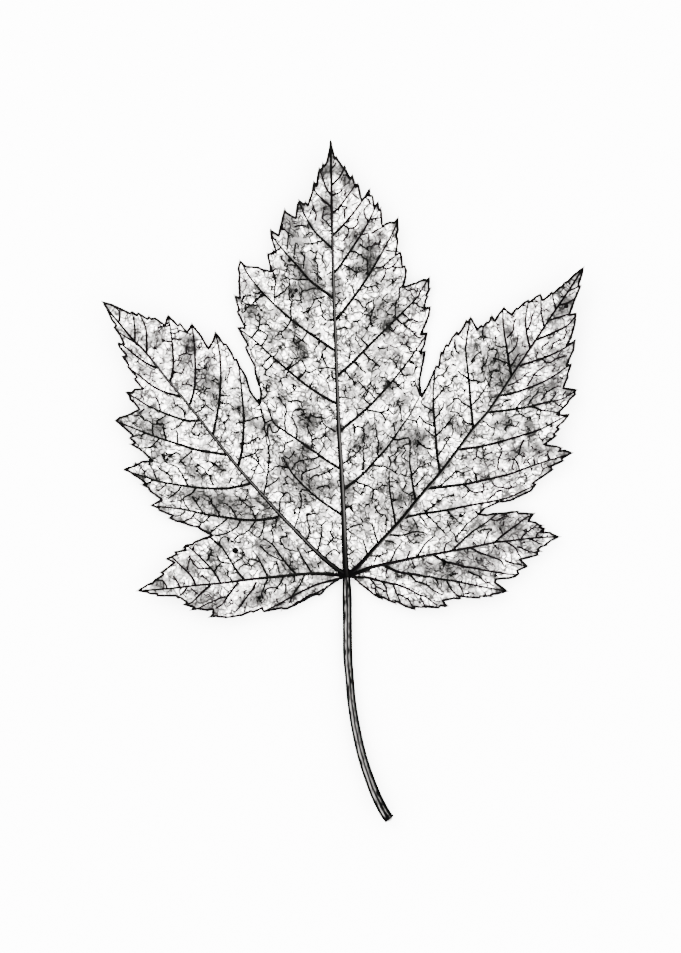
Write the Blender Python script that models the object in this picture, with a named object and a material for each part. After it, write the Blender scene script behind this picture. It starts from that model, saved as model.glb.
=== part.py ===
"""A maple leaf as picked, laid down with its ribbed underside up. Metres, +Z up.

The blade is one sheet, cut out along its toothed margin and split into triangles along
its veins. The lower face follows a gentle cup that rests on a flat spot, and the upper
face is the same sheet raised by the blade's thickness and by the ribs. The stalk is a
grooved tube, joined to the blade where the five main ribs meet.
"""

import math
import random

import bmesh
import bpy
from mathutils import Vector
from mathutils.geometry import delaunay_2d_cdt

# Driving sizes
LEAF_LENGTH = 0.228
BLADE_THICKNESS = 0.0007
STALK_RADIUS = 0.0015

# The drawing's own units, from the point where the ribs meet: x right, y to the tip
DRAWN_LENGTH = 684.5
UNIT = LEAF_LENGTH / DRAWN_LENGTH

# The cup: flat under the leaf's weight, and rising outwards to the tips of the lobes.
# The flat spot is a triangle. Its middle is the origin, this far up the midrib from
# the stalk, and its corners are this far out
REST_FROM_STALK = 0.0455
REST_RADIUS = 0.026
REST_CORNERS = 3
REST_SLOPE = 0.022
CUP_REACH = 0.076
CUP_RISE = 0.0075
CUP_POWER = 1.7
LOBE_WAVES = 5
LOBE_WAVE_HEIGHT = 0.0011
LOBE_WAVE_TURN = 0.6
EDGE_WAVE_HEIGHT = 0.0005
EDGE_WAVE_LENGTH = 0.031

# Splitting of the sheet, in drawing units
MARGIN_CLEAR = 2.2
WELD = 0.7

# The raised net between the ribs: its meshes' width, how far they are drawn askew, the
# gaps that they keep and the net's own width in drawing units, and its height in metres
NET_STEP = 15.5
NET_SKEW = 0.24
NET_SEED = 7
CELL_CLEAR = 4.6
RIB_SNAP = 4.2
NET_MARGIN = 4.5
NET_WIDTH = 3.0
NET_HEIGHT = 0.00022

# The margin, anticlockwise from the stalk's right side, a list for each side of a lobe
LOWER_RIGHT_UNDER = [
    (4, -3), (6.3, -5), (11, -9.5), (18, -14.5), (25.5, -21), (29, -23), (35.4, -25.8),
    (35.4, -24), (41, -27), (49.3, -30.5), (49.2, -28.3), (57.6, -32.8), (68.2, -36),
    (68.3, -33.2), (73.7, -33.9), (80, -33.4), (91.3, -34.2), (93.2, -32), (97.4, -32.8),
    (101.6, -31.4), (98.2, -28.2), (97, -26.7), (105.8, -24.8), (115.2, -25.5),
    (113.5, -22.8), (122.5, -23.8), (132.4, -24.5), (133.2, -22.6), (145.8, -22.7),
    (144.7, -20.7), (150, -20.1), (161.4, -17.1), (155.4, -11.9), (148.5, -7.3),
    (148.9, -5.8), (153.9, -5), (161.5, -4.8), (168.4, -2.7), (172.2, 0.5), (171, 3.4),
    (181.3, 8), (174.5, 14.5), (183.7, 16.8), (192.1, 18.9), (190.6, 21.8),
    (195.4, 22.9), (191.8, 25.2), (193.7, 26.8), (202.1, 29.1), (199.8, 30.3),
    (204.4, 33.3), (214, 38),
]
LOWER_RIGHT_OVER = [
    (204.4, 41.7), (202.9, 43.2), (196.7, 43.6), (199.6, 46.3), (194.4, 47.8),
    (197.1, 49.7), (191.4, 50.9), (188.3, 53.2), (182.6, 54.3), (185.3, 58.5),
    (188.3, 62), (179, 62.4), (171.5, 62.7), (170.7, 64.3), (164.2, 64), (157.7, 62.7),
    (144.7, 62), (139.7, 60.8), (134, 61.4),
]
RIGHT_OUTER = [
    (138.2, 65.4), (144.7, 68.1), (150, 70.9), (155.4, 71.5), (163.8, 73.1),
    (170, 76.1), (183.7, 82.6), (190.1, 90.7), (187.6, 91.6), (193.7, 95.8),
    (199.8, 100), (206.3, 105), (204.1, 107.3), (216.9, 113.2), (215.2, 115.3),
    (226, 121.8), (216.7, 125.3), (213.6, 124.9), (215.2, 127.1), (209, 129.1),
    (199.1, 130.6), (206, 135.6), (209.8, 138.8), (207.5, 140.2), (213.4, 145.7),
    (210.6, 147.1), (216.7, 152.5), (223.2, 161.4), (215.2, 160.3), (211.3, 160.9),
    (220.1, 169.7), (221.7, 173.1), (228.3, 179.6), (227.8, 182.3), (230.1, 184.8),
    (224.3, 186.1), (216.7, 187), (219, 193), (221.1, 197), (220.5, 200),
    (223.2, 207), (224.2, 211.2), (220.5, 210.4), (222.8, 216.2), (226.2, 223.1),
    (227.8, 235.3), (220.5, 230.7), (223.6, 235.3), (227.4, 249.1), (229.1, 262),
    (222.8, 260.6), (227.4, 273.6), (233.7, 289.1), (231.2, 288.9), (234.3, 298.1),
    (236.2, 308),
]
RIGHT_INNER = [
    (231.2, 304.6), (224.3, 299.2), (219, 293.5), (215.2, 291.6), (213.2, 288.5),
    (209.8, 286.6), (204.8, 282), (203.8, 283.4), (199.1, 278.6), (195.3, 275.5),
    (192.7, 281.2), (186.8, 277.8), (181.9, 273.6), (180.9, 275.3), (175.4, 272.4),
    (169.6, 266.7), (168.1, 267.1), (163.3, 261.2), (158.9, 264.8), (156.2, 268.2),
    (150.5, 261.5), (147, 255.6), (143.7, 261.2), (140.2, 253.2), (138.6, 254),
    (135.2, 248.9), (133.3, 250.2), (129.8, 246.9), (123.2, 259.4), (119.9, 253.8),
    (118.2, 255.3), (114.5, 247.7), (110.7, 241.8), (109.2, 244), (103, 237),
    (100.3, 230.6), (99.1, 232.3), (95.9, 227.2), (94.6, 222.8), (92.4, 223.4),
    (91, 214), (90.2, 208.8), (87.9, 209.6), (82.4, 197.2), (79, 189.2), (74.5, 180.8),
]
CENTRE_RIGHT = [
    (73.2, 189.6), (73.5, 196), (76.8, 212), (79.1, 224.6), (75, 223.4), (77.8, 228.5),
    (81, 243.4), (75.3, 241.5), (79.1, 250), (82.2, 257.9), (84.1, 268.4),
    (78.4, 267.5), (79.1, 272.8), (81.8, 278.5), (80.3, 279.3), (84.3, 286.6),
    (82.3, 287), (82.8, 298.7), (78.9, 295.5), (75.5, 295.7), (69, 293), (57, 288.8),
    (59.4, 297.2), (59.8, 303.4), (57.9, 309.9), (55.8, 309), (54.7, 319),
    (53.2, 323.7), (49.8, 321.5), (51.3, 333.5), (49.8, 338.5), (51.5, 343), (51, 358),
    (46.2, 352.5), (41.3, 352.6), (35.7, 349.8), (34.1, 367.7), (31.9, 365.9),
    (31, 373.8), (27.4, 369), (26, 379), (22.9, 378.8), (22.9, 386.4), (18.9, 379.4),
    (14.6, 375.7), (12.2, 387.3), (10.4, 391.8), (8.7, 389.1), (5.1, 399.8),
    (2.9, 396.7), (-1.2, 404.7), (-2.5, 409.6), (-3.8, 407), (-9.2, 414.6),
    (-11, 418.2), (-12.2, 416.8), (-17, 435.5),
]
CENTRE_LEFT = [
    (-19, 423), (-21.7, 411.5), (-23.3, 409.2), (-25, 412.3), (-26.6, 405),
    (-28.6, 406.5), (-30.2, 400.7), (-31.6, 390.4), (-34, 393.4), (-37.3, 378),
    (-40, 370.8), (-41.8, 373.9), (-43.6, 370.8), (-49.2, 375), (-51.2, 367.7),
    (-52.6, 357.4), (-60.5, 362.3), (-63, 367), (-66, 355.6), (-69.5, 340.4),
    (-75.3, 343.8), (-76.8, 347.2), (-77.8, 342.8), (-77, 335.5), (-73, 324),
    (-76, 326), (-75.4, 321.4), (-81.3, 321.5), (-77.8, 304.2), (-84.3, 305.7),
    (-88.9, 307.8), (-100.8, 308.8), (-108, 315), (-110.3, 305), (-109, 299.6),
    (-109.7, 292.7), (-108.8, 278.1), (-114.2, 280.3), (-109.8, 264.5),
    (-111.3, 262.4), (-104.2, 247.8), (-111.2, 248), (-108.4, 242.3), (-101, 229.5),
    (-103.7, 228.2), (-99.6, 218.6), (-93.9, 208), (-93.1, 199.8), (-88.5, 185.7),
    (-87.6, 180.3), (-88.6, 173.4),
]
LEFT_INNER = [
    (-94, 180.3), (-96.5, 184.5), (-100.4, 198.7), (-107.2, 209.2), (-110.3, 217.2),
    (-112.3, 216), (-114.2, 221), (-120.4, 231.3), (-123.1, 231.5), (-132.4, 244.8),
    (-134.6, 235.4), (-138.9, 228), (-145.4, 239.3), (-155.7, 252.2), (-158, 247),
    (-160.3, 244), (-166.8, 252.4), (-169.1, 250.4), (-179.3, 260.4), (-180.9, 257),
    (-182.6, 250.6), (-187.4, 254.3), (-192, 257.2), (-195.5, 256.4), (-198.2, 259.3),
    (-199.7, 256.6), (-208.9, 262.4), (-210.4, 260.4), (-214.6, 263.4),
    (-216.9, 261.9), (-225.7, 266.2), (-234.1, 270.1), (-245.5, 273),
]
LEFT_OUTER = [
    (-243.3, 269.6), (-240, 263.5), (-236, 253.9), (-231.8, 248.6), (-233.4, 246.3),
    (-227.2, 237.1), (-224.3, 231), (-230.3, 231.4), (-227, 224.8), (-222, 219),
    (-225.9, 218.2), (-219.7, 209.2), (-220.7, 207.8), (-212, 197.3), (-214.5, 195.9),
    (-211.2, 191.9), (-206.6, 186.4), (-212.7, 186), (-215.4, 182.8), (-223.4, 183.4),
    (-218.8, 178.5), (-217.7, 174.3), (-212.7, 169.7), (-209.5, 165.5),
    (-219.6, 160.2), (-227.5, 158), (-232.8, 153.8), (-224.2, 146.2), (-215.9, 139),
    (-219, 136.2), (-214.2, 132), (-219, 130.5), (-210, 125.5), (-203.5, 120.5),
    (-197.4, 114.5), (-205.1, 114.2), (-209.6, 111.8), (-215, 111.1), (-213.4, 109.6),
    (-225.7, 105.3), (-219.6, 102.6), (-203.6, 91.5), (-207.7, 90.1), (-199.7, 85.8),
    (-199.3, 83.5), (-187.5, 75), (-198.7, 69), (-189.6, 65.7), (-189.6, 63.6),
    (-176.6, 58.6), (-179.5, 56.4), (-172, 52.3), (-165.9, 51.2), (-158.2, 48.1),
    (-149.8, 46.2), (-145.2, 43.1), (-137.9, 39.3),
]
LOWER_LEFT_OVER = [
    (-145.2, 37), (-154, 33.2), (-155.2, 31.8), (-161.3, 30.5), (-164.3, 27.8),
    (-163, 25.6), (-173.8, 23.4), (-172.4, 20.9), (-179.6, 17.5), (-182.3, 15.7),
    (-175.1, 11.9), (-184.2, 4.9), (-187.9, 2.2), (-185.4, 0.4), (-192.7, -4.3),
    (-194.9, -7), (-199.5, -8.5), (-211.8, -16.4),
]
LOWER_LEFT_UNDER = [
    (-200.3, -18.3), (-196.5, -20), (-190.7, -20.4), (-190.4, -22.1), (-171.2, -22.1),
    (-169.7, -23.8), (-166.6, -24.2), (-162, -27.7), (-164.9, -30), (-154.8, -33),
    (-158.2, -35.9), (-149, -35.1), (-139.8, -36.5), (-135.3, -35.7), (-135.3, -38.8),
    (-139.8, -43.1), (-131.4, -42.6), (-120, -43.9), (-104.8, -41.5), (-96.4, -37.8),
    (-94.1, -38.9), (-86.1, -35), (-85.6, -38.2), (-76.5, -36.6), (-66.6, -34.7),
    (-66.6, -37.5), (-64.7, -35.4), (-59.7, -35.1), (-49, -30.1), (-42.9, -27.1),
    (-36, -22.8), (-30.2, -20.9), (-28.3, -22.1), (-24.5, -19.4), (-19.9, -14),
    (-13.8, -9.5), (-5.5, -4.2),
]
MARGIN = (
    LOWER_RIGHT_UNDER + LOWER_RIGHT_OVER + RIGHT_OUTER + RIGHT_INNER + CENTRE_RIGHT
    + CENTRE_LEFT + LEFT_INNER + LEFT_OUTER + LOWER_LEFT_OVER + LOWER_LEFT_UNDER
)

# Main ribs, from where they meet to their tips
MIDRIB = [
    (-1, 0), (-2.5, 15), (-3.5, 50), (-5.9, 101), (-8.4, 139), (-10, 177), (-12.2, 240),
    (-13.6, 275), (-15.5, 350), (-16.3, 400), (-17, 435.5),
]
LEFT_RIB = [
    (-3, 1), (-11.6, 5.5), (-34.5, 26.2), (-66, 58), (-96.3, 92.7), (-121.8, 122),
    (-157.5, 167.9), (-200.9, 221.5), (-226, 249), (-245.5, 273),
]
RIGHT_RIB = [
    (1, 1), (15, 13), (39.7, 40), (65, 69), (93, 102), (125, 145), (150.5, 177.3),
    (181.5, 224.6), (207.5, 264.4), (236, 308),
]
LOWER_LEFT_RIB = [
    (-3, 0), (-28, 1), (-52, 0), (-79.6, -2.9), (-126.8, -8.5), (-168.9, -12.7),
    (-211.8, -16.4),
]
LOWER_RIGHT_RIB = [
    (1, -1), (12.4, 2.8), (31.6, 9.3), (69.1, 17.3), (105, 23.8), (147, 32.1),
    (176.1, 35.6), (214, 38),
]

# Side ribs, from the main rib that each leaves
CENTRE_LEFT_SIDES = [
    [(-4.5, 59.5), (-30.5, 76.7), (-49.6, 94.6), (-66, 120)],
    [(-6.2, 105), (-35.6, 124.5), (-66, 145.6), (-80, 168)],
    [(-9.8, 171), (-33.3, 184.2), (-66.6, 210.2), (-91.9, 233.2), (-107.2, 244.7)],
    [(-11.8, 224), (-38.3, 241.6), (-62, 260), (-87.3, 285), (-108, 315)],
    [(-13.6, 276), (-39.1, 295.3), (-62, 321.4), (-76.8, 347.2)],
    [(-14.8, 325), (-29.9, 339.3), (-43.7, 360.8), (-49.2, 375)],
    [(-15.9, 366), (-30.2, 379.3), (-34, 393.4)],
]
CENTRE_RIGHT_SIDES = [
    [(-4.9, 84), (17, 102), (39.4, 126.8), (61.6, 158.6), (72.3, 178.5)],
    [(-8.5, 143), (19.3, 166), (41, 189), (68.4, 224.2), (81, 243.4)],
    [(-10.8, 198.5), (22.5, 229.9), (54.6, 261.7), (73, 283), (82.8, 298.7)],
    [(-12.7, 253.5), (6.2, 276.6), (28.4, 311), (48.3, 348.5), (51, 358)],
    [(-14.2, 301), (0.1, 318.7), (20.4, 350.8), (31, 373.8)],
    [(-15.2, 338.6), (3.9, 358.5), (22.9, 386.4)],
    [(-15.7, 361), (-6, 369.2), (10.4, 391.8)],
    [(-16.2, 388), (-7.9, 396.3), (-2.5, 409.6)],
]
LEFT_INNER_SIDES = [
    [(-83.5, 77), (-80, 100), (-78.3, 120), (-84, 155), (-88, 172)],
    [(-109, 107), (-104.6, 131), (-105, 176), (-107.8, 202), (-110.3, 217.2)],
    [(-134.6, 139), (-128.1, 172.7), (-126.6, 196), (-132.4, 244.8)],
    [(-158, 168), (-153, 185), (-153, 231), (-155.7, 252.2)],
    [(-177.5, 191.5), (-173.8, 215.6), (-179.3, 260.4)],
    [(-200.1, 219.8), (-200.2, 235.5), (-208.9, 262.4)],
]
LEFT_OUTER_SIDES = [
    [(-69, 57.8), (-85, 55.4), (-107, 55), (-136, 59.2), (-170.5, 66.1), (-198.7, 69)],
    [(-97, 91), (-119, 86.5), (-149.9, 86.9), (-189.7, 93.4), (-225.7, 105.3)],
    [(-121, 120), (-149.9, 124.4), (-187.4, 136.2), (-232.8, 153.8)],
    [(-147, 154), (-172.1, 157.3), (-198.9, 168.5), (-223.4, 183.4)],
    [(-166.8, 177.7), (-195.1, 188.8), (-220.7, 207.8)],
    [(-190.5, 206.1), (-209.6, 217.2), (-230.3, 231.4)],
    [(-211.9, 231.7), (-233.4, 246.3)],
]
RIGHT_INNER_SIDES = [
    [(48, 50), (46, 63), (42, 88), (41.6, 105.5)],
    [(68.5, 73), (63.9, 99.7), (62.5, 125), (63, 137)],
    [(92.6, 102), (88.7, 131.8), (85.7, 171.6), (87.9, 209.6)],
    [(125.5, 146), (121.4, 191.8), (118, 224.8), (123.2, 259.4)],
    [(163.5, 198.7), (158.2, 230.1), (155.1, 257), (156.2, 268.2)],
    [(181.9, 226), (177.7, 256.7), (180.9, 275.3)],
    [(196, 246.8), (192.2, 269.8), (192.7, 281.2)],
]
RIGHT_OUTER_SIDES = [
    [(40, 40), (56, 39.5), (71, 43), (84, 41)],
    [(56, 57), (90, 63), (122.5, 69), (159.2, 76.5), (190.1, 90.7)],
    [(80, 86), (109, 89.3), (139.6, 95.1), (178.4, 106.5), (226, 121.8)],
    [(109.8, 124), (150.6, 132.2), (190.7, 144.4), (223.2, 161.4)],
    [(139.5, 162), (168.1, 165.5), (198.3, 172), (230.1, 184.8)],
    [(151, 178.6), (177.7, 185.4), (206, 198.4), (224.2, 211.2)],
    [(171.5, 208.5), (202.9, 219.2), (227.8, 235.3)],
    [(188.4, 234.2), (215.2, 246), (229.1, 262)],
    [(211.3, 269), (233.7, 289.1)],
]
LOWER_LEFT_SIDES = [
    [(-5, -3), (-28, -9), (-50, -19), (-71, -30.5), (-85.6, -38.2)],
    [(-35.6, 0.8), (-40.6, 9.3), (-51.3, 29.2)],
    [(-52, 0), (-65.1, 16.2), (-75, 30), (-86.5, 37.6)],
    [(-79.6, -2.9), (-90.3, 18.5), (-96.4, 26.1)],
    [(-102.6, -5.3), (-115.4, 11.7), (-125.3, 27.1), (-137, 38)],
    [(-126.8, -8.5), (-142.1, 12.5), (-161.3, 30.5)],
    [(-151.3, -10.6), (-165.9, 8.7), (-182.3, 15.7)],
    [(-43, 0.4), (-49, -12.5), (-55, -20), (-59.5, -30)],
    [(-64, -1.4), (-71, -14), (-76, -22)],
    [(-91, -4), (-100, -21.5), (-114, -39)],
    [(-109.5, -6.2), (-121, -24), (-134, -35)],
    [(-137.5, -9.7), (-151, -23.5), (-164.9, -30)],
    [(-160, -12), (-169.7, -23.8)],
]
LOWER_RIGHT_SIDES = [
    [(3, -2), (25, -4), (50, -10), (68, -18), (86, -26), (97, -31)],
    [(35, 10), (60, 1), (83, -2), (120, -9), (161.4, -17.1)],
    [(43, 11.8), (48, 24), (54, 31.5)],
    [(69, 17.3), (76, 28.5), (90, 41)],
    [(105, 23.8), (125, 43), (144, 56.5), (151, 61.5)],
    [(147, 32.1), (163, 45.5), (188.3, 62)],
    [(85.5, 20.2), (98, 13), (124, 7), (146, 2.5), (172.2, 0.5)],
    [(123, 27.1), (143, 18), (160, 13), (181.3, 8)],
    [(158, 33.3), (168.5, 26), (175, 15)],
    [(66, -0.3), (75, -8.5), (97, -21.5)],
    [(99, -5), (105, -16.5), (115.2, -25.5)],
    [(35, -6.3), (39.5, -19), (49.3, -30.5)],
    [(47, -9), (52, -26), (57.6, -32.8)],
    [(182, 36), (192, 31), (202.1, 29.1)],
]
SIDE_RIBS = (
    CENTRE_LEFT_SIDES + CENTRE_RIGHT_SIDES + LEFT_INNER_SIDES + LEFT_OUTER_SIDES
    + RIGHT_INNER_SIDES + RIGHT_OUTER_SIDES + LOWER_LEFT_SIDES + LOWER_RIGHT_SIDES
)

# Ribs as (line, width at the root and at the tip, height at the root and at the tip),
# widths in drawing units and heights in metres
RIBS = [
    (MIDRIB, 8.0, 2.4, 0.00135, 0.00035),
    (LEFT_RIB, 6.5, 2.4, 0.00115, 0.0003),
    (RIGHT_RIB, 6.5, 2.4, 0.00115, 0.0003),
    (LOWER_LEFT_RIB, 5.5, 2.2, 0.00095, 0.0003),
    (LOWER_RIGHT_RIB, 5.5, 2.2, 0.00095, 0.0003),
]
RIBS += [(line, 3.4, 2.0, 0.00055, 0.00025) for line in SIDE_RIBS]

# The stalk: x, y in drawing units, then the height of its middle and its half width
# as shares of the stalk's radius
STALK = [
    (-2.3, 16, 1.3, 0.34), (-1.6, 7, 1.36, 0.78), (-1, -4, 1.42, 1.0),
    (-0.5, -20, 1.46, 0.96), (-0.1, -50, 1.5, 0.96), (0.2, -80, 1.56, 0.98),
    (1.8, -100, 1.62, 0.92), (3.4, -120, 1.7, 0.92), (6, -140, 1.8, 0.93),
    (9.7, -160, 1.92, 0.96), (14.3, -180, 2.06, 0.98), (21, -201, 2.22, 1.0),
    (28.8, -221, 2.4, 1.04), (37.3, -237.5, 2.56, 1.14), (43, -245, 2.64, 1.2),
]
STALK_SIDES = 12
GROOVE_DEPTH = 0.3


def clear_scene():
    for old in list(bpy.data.objects):
        bpy.data.objects.remove(old, do_unlink=True)


def new_collection(name):
    collection = bpy.data.collections.new(name)
    bpy.context.scene.collection.children.link(collection)
    return collection


def leaf_material():
    """Pale, dry blade with a soft sheen, the wash grey of the drawing."""
    material = bpy.data.materials.new("leaf")
    material.use_nodes = True
    shader = material.node_tree.nodes["Principled BSDF"]
    shader.inputs["Base Color"].default_value = (0.62, 0.61, 0.59, 1)
    shader.inputs["Roughness"].default_value = 0.7
    shader.inputs["Metallic"].default_value = 0
    return material


def nearest_on_line(point, line):
    """Distance from a point to a line of points, and the share of the line before it."""
    lengths = [(b - a).length for a, b in zip(line, line[1:])]
    whole = sum(lengths)
    best = (math.inf, 0)
    before = 0
    for a, b, length in zip(line, line[1:], lengths):
        along = max(0, min(1, (point - a).dot(b - a) / length**2))
        gap = (point - a.lerp(b, along)).length
        if gap < best[0]:
            best = (gap, (before + along * length) / whole)
        before += length
    return best


def inside(point, loop):
    """Whether a point is inside a closed loop, by the crossings of a ray to its right."""
    found = False
    for a, b in zip(loop, loop[1:] + loop[:1]):
        if (a.y > point.y) != (b.y > point.y):
            if point.x < a.x + (point.y - a.y) * (b.x - a.x) / (b.y - a.y):
                found = not found
    return found


def well_inside(point, loop, clear):
    return inside(point, loop) and nearest_on_line(point, loop + loop[:1])[0] > clear


def side_lines(line, root_width, tip_width):
    """The two feet of a rib: its line moved half its width to either side."""
    feet = ([], [])
    for i, point in enumerate(line[1:-1], 1):
        along = (line[i + 1] - line[i - 1]).normalized()
        share = i / (len(line) - 1)
        half = (root_width + (tip_width - root_width) * share) / 2
        across = Vector((-along.y, along.x)) * half
        feet[0].append(point + across)
        feet[1].append(point - across)
    return feet


def boxed_rib(line, root_width, tip_width, root_height, tip_height):
    """A rib with the corners of the box that its height reaches."""
    reach = Vector((1, 1)) * max(root_width, CELL_CLEAR)
    low = Vector((min(p.x for p in line), min(p.y for p in line))) - reach
    high = Vector((max(p.x for p in line), max(p.y for p in line))) + reach
    return line, low, high, root_width, tip_width, root_height, tip_height


def rib_height(point, ribs):
    """How far the ribs lift the upper face at a point."""
    best = 0
    for line, low, high, root_width, tip_width, root_height, tip_height in ribs:
        if not (low.x < point.x < high.x and low.y < point.y < high.y):
            continue
        gap, share = nearest_on_line(point, line)
        half = (root_width + (tip_width - root_width) * share) / 2
        if gap < half:
            height = root_height + (tip_height - root_height) * share
            best = max(best, height * (1 - (gap / half) ** 2))
    return best


def placed(x, y):
    """Metres from the origin, for a point in the drawing's units."""
    return x * UNIT, y * UNIT - REST_FROM_STALK


def rest_corners():
    """Corners of the flat spot, the first towards the tip of the middle lobe."""
    turns = [math.tau * (i / REST_CORNERS + 0.25) for i in range(REST_CORNERS)]
    return [Vector((math.cos(turn), math.sin(turn))) * REST_RADIUS for turn in turns]


def past_rest(x, y):
    """How far a point lies past the nearest side of the flat spot, or 0 on it."""
    point = Vector((x, y))
    inner = REST_RADIUS * math.cos(math.pi / REST_CORNERS)
    return max(0, *(-point.dot(corner) / REST_RADIUS - inner for corner in rest_corners()))


def cup_height(x, y):
    """Height of the lower face in metres: flat at the rest, rising to the lobes' tips."""
    beyond = max(0, math.hypot(x, y) - REST_RADIUS) / CUP_REACH
    turn = math.atan2(y, x)
    rise = CUP_RISE * beyond**CUP_POWER + REST_SLOPE * past_rest(x, y)
    wave = LOBE_WAVE_HEIGHT * beyond * math.sin(LOBE_WAVES * turn + LOBE_WAVE_TURN)
    ripple = EDGE_WAVE_HEIGHT * beyond * math.sin((x + 0.6 * y) * math.tau / EDGE_WAVE_LENGTH)
    return max(0, rise + wave + ripple)


def nearest_rib(point, ribs):
    """The nearest point to a point on any rib's line, and its distance."""
    best = (math.inf, point)
    for line, low, high, *_ in ribs:
        if not (low.x < point.x < high.x and low.y < point.y < high.y):
            continue
        for a, b in zip(line, line[1:]):
            along = max(0, min(1, (point - a).dot(b - a) / (b - a).length_squared))
            spot = a.lerp(b, along)
            gap = (point - spot).length
            if gap < best[0]:
                best = (gap, spot)
    return best


def net_layout(margin, ribs):
    """Middles of the net's meshes, and the short lines of the net between them.

    The middles are a lattice drawn a little askew. Each triangle of three of them has a
    corner of the net in it, and corners of triangles that share a side are joined. A
    corner close to a rib moves onto its line.
    """
    draw = random.Random(NET_SEED)
    rows = math.ceil(DRAWN_LENGTH / NET_STEP)
    middles = {}
    for row in range(-rows, rows):
        for column in range(-2 * rows, 2 * rows):
            askew = Vector((draw.uniform(-1, 1), draw.uniform(-1, 1))) * NET_SKEW
            middles[row, column] = Vector((column + row / 2, row * 0.866)) + askew
    corners = {}
    for row, column in middles:
        beside = middles.get((row, column + 1))
        above = middles.get((row + 1, column))
        across = middles.get((row + 1, column + 1))
        if beside and above and across:
            corners[row, column, 0] = (middles[row, column] + beside + above) / 3 * NET_STEP
            corners[row, column, 1] = (beside + above + across) / 3 * NET_STEP
    kept = {}
    for place, corner in corners.items():
        if well_inside(corner, margin, NET_MARGIN):
            gap, spot = nearest_rib(corner, ribs)
            kept[place] = (spot, True) if gap < RIB_SNAP else (corner, False)
    lines = []
    for row, column, kind in kept:
        if kind == 0:
            corner, on_rib = kept[row, column, 0]
            for place in ((row, column, 1), (row - 1, column, 1), (row, column - 1, 1)):
                if place in kept and not (on_rib and kept[place][1]):
                    lines.append([corner, kept[place][0]])
    cells = []
    for middle in middles.values():
        middle = middle * NET_STEP
        if well_inside(middle, margin, CELL_CLEAR) and nearest_rib(middle, ribs)[0] > CELL_CLEAR:
            cells.append(middle)
    return cells, lines


def sheet_layout():
    """Points, edges that the split must keep, and ribs with the boxes that they reach."""
    margin = [Vector(point) for point in MARGIN]
    points = list(margin)
    edges = [(i, (i + 1) % len(margin)) for i in range(len(margin))]
    ribs = []
    for rib in RIBS:
        line = [Vector(point) for point in rib[0]]
        ribs.append(boxed_rib(line, *rib[1:]))
        for path in (line, *side_lines(line, rib[1], rib[2])):
            kept = [point for point in path if well_inside(point, margin, MARGIN_CLEAR)]
            first = len(points)
            points += kept
            edges += [(i, i + 1) for i in range(first, len(points) - 1)]
    cells, lines = net_layout(margin, ribs)
    points += cells
    first = len(points)
    points += [(corner + Vector((0, REST_FROM_STALK))) / UNIT for corner in rest_corners()]
    edges += [(first + i, first + (i + 1) % REST_CORNERS) for i in range(REST_CORNERS)]
    for line in lines:
        edges.append((len(points), len(points) + 1))
        points += line
        ribs.append(boxed_rib(line, NET_WIDTH, NET_WIDTH, NET_HEIGHT, NET_HEIGHT))
    return points, edges, ribs, margin


def make_blade(collection):
    """The sheet, extruded to two faces that are split alike."""
    points, edges, ribs, margin = sheet_layout()
    sheet = delaunay_2d_cdt(points, edges, [], 0, WELD, False)
    shape = bmesh.new()
    lifts = []
    for point in sheet[0]:
        x, y = placed(point.x, point.y)
        shape.verts.new((x, y, cup_height(x, y)))
        lifts.append(BLADE_THICKNESS + rib_height(point, ribs))
    lower = list(shape.verts)
    for face in sheet[2]:
        middle = sum((sheet[0][i] for i in face), Vector((0, 0))) / len(face)
        if inside(middle, margin):
            shape.faces.new([lower[i] for i in reversed(face)])
    shape.verts.index_update()
    lift_of = {vertex.co.to_tuple(7): lift for vertex, lift in zip(lower, lifts)}
    grown = bmesh.ops.extrude_face_region(shape, geom=list(shape.faces), use_keep_orig=True)
    for part in grown["geom"]:
        if isinstance(part, bmesh.types.BMVert):
            part.co.z += lift_of[part.co.to_tuple(7)]
    bmesh.ops.recalc_face_normals(shape, faces=list(shape.faces))
    mesh = bpy.data.meshes.new("maple_leaf")
    shape.to_mesh(mesh)
    shape.free()
    blade = bpy.data.objects.new("maple_leaf", mesh)
    collection.objects.link(blade)
    return blade


def curve_object(name, rows, cyclic, dimensions):
    """A curve through (x, y, z, radius) rows."""
    curve = bpy.data.curves.new(name, "CURVE")
    curve.dimensions = dimensions
    spline = curve.splines.new("POLY")
    spline.points.add(len(rows) - 1)
    for point, (x, y, z, radius) in zip(spline.points, rows):
        point.co = (x, y, z, 1)
        point.radius = radius
    spline.use_cyclic_u = cyclic
    return bpy.data.objects.new(name, curve)


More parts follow.
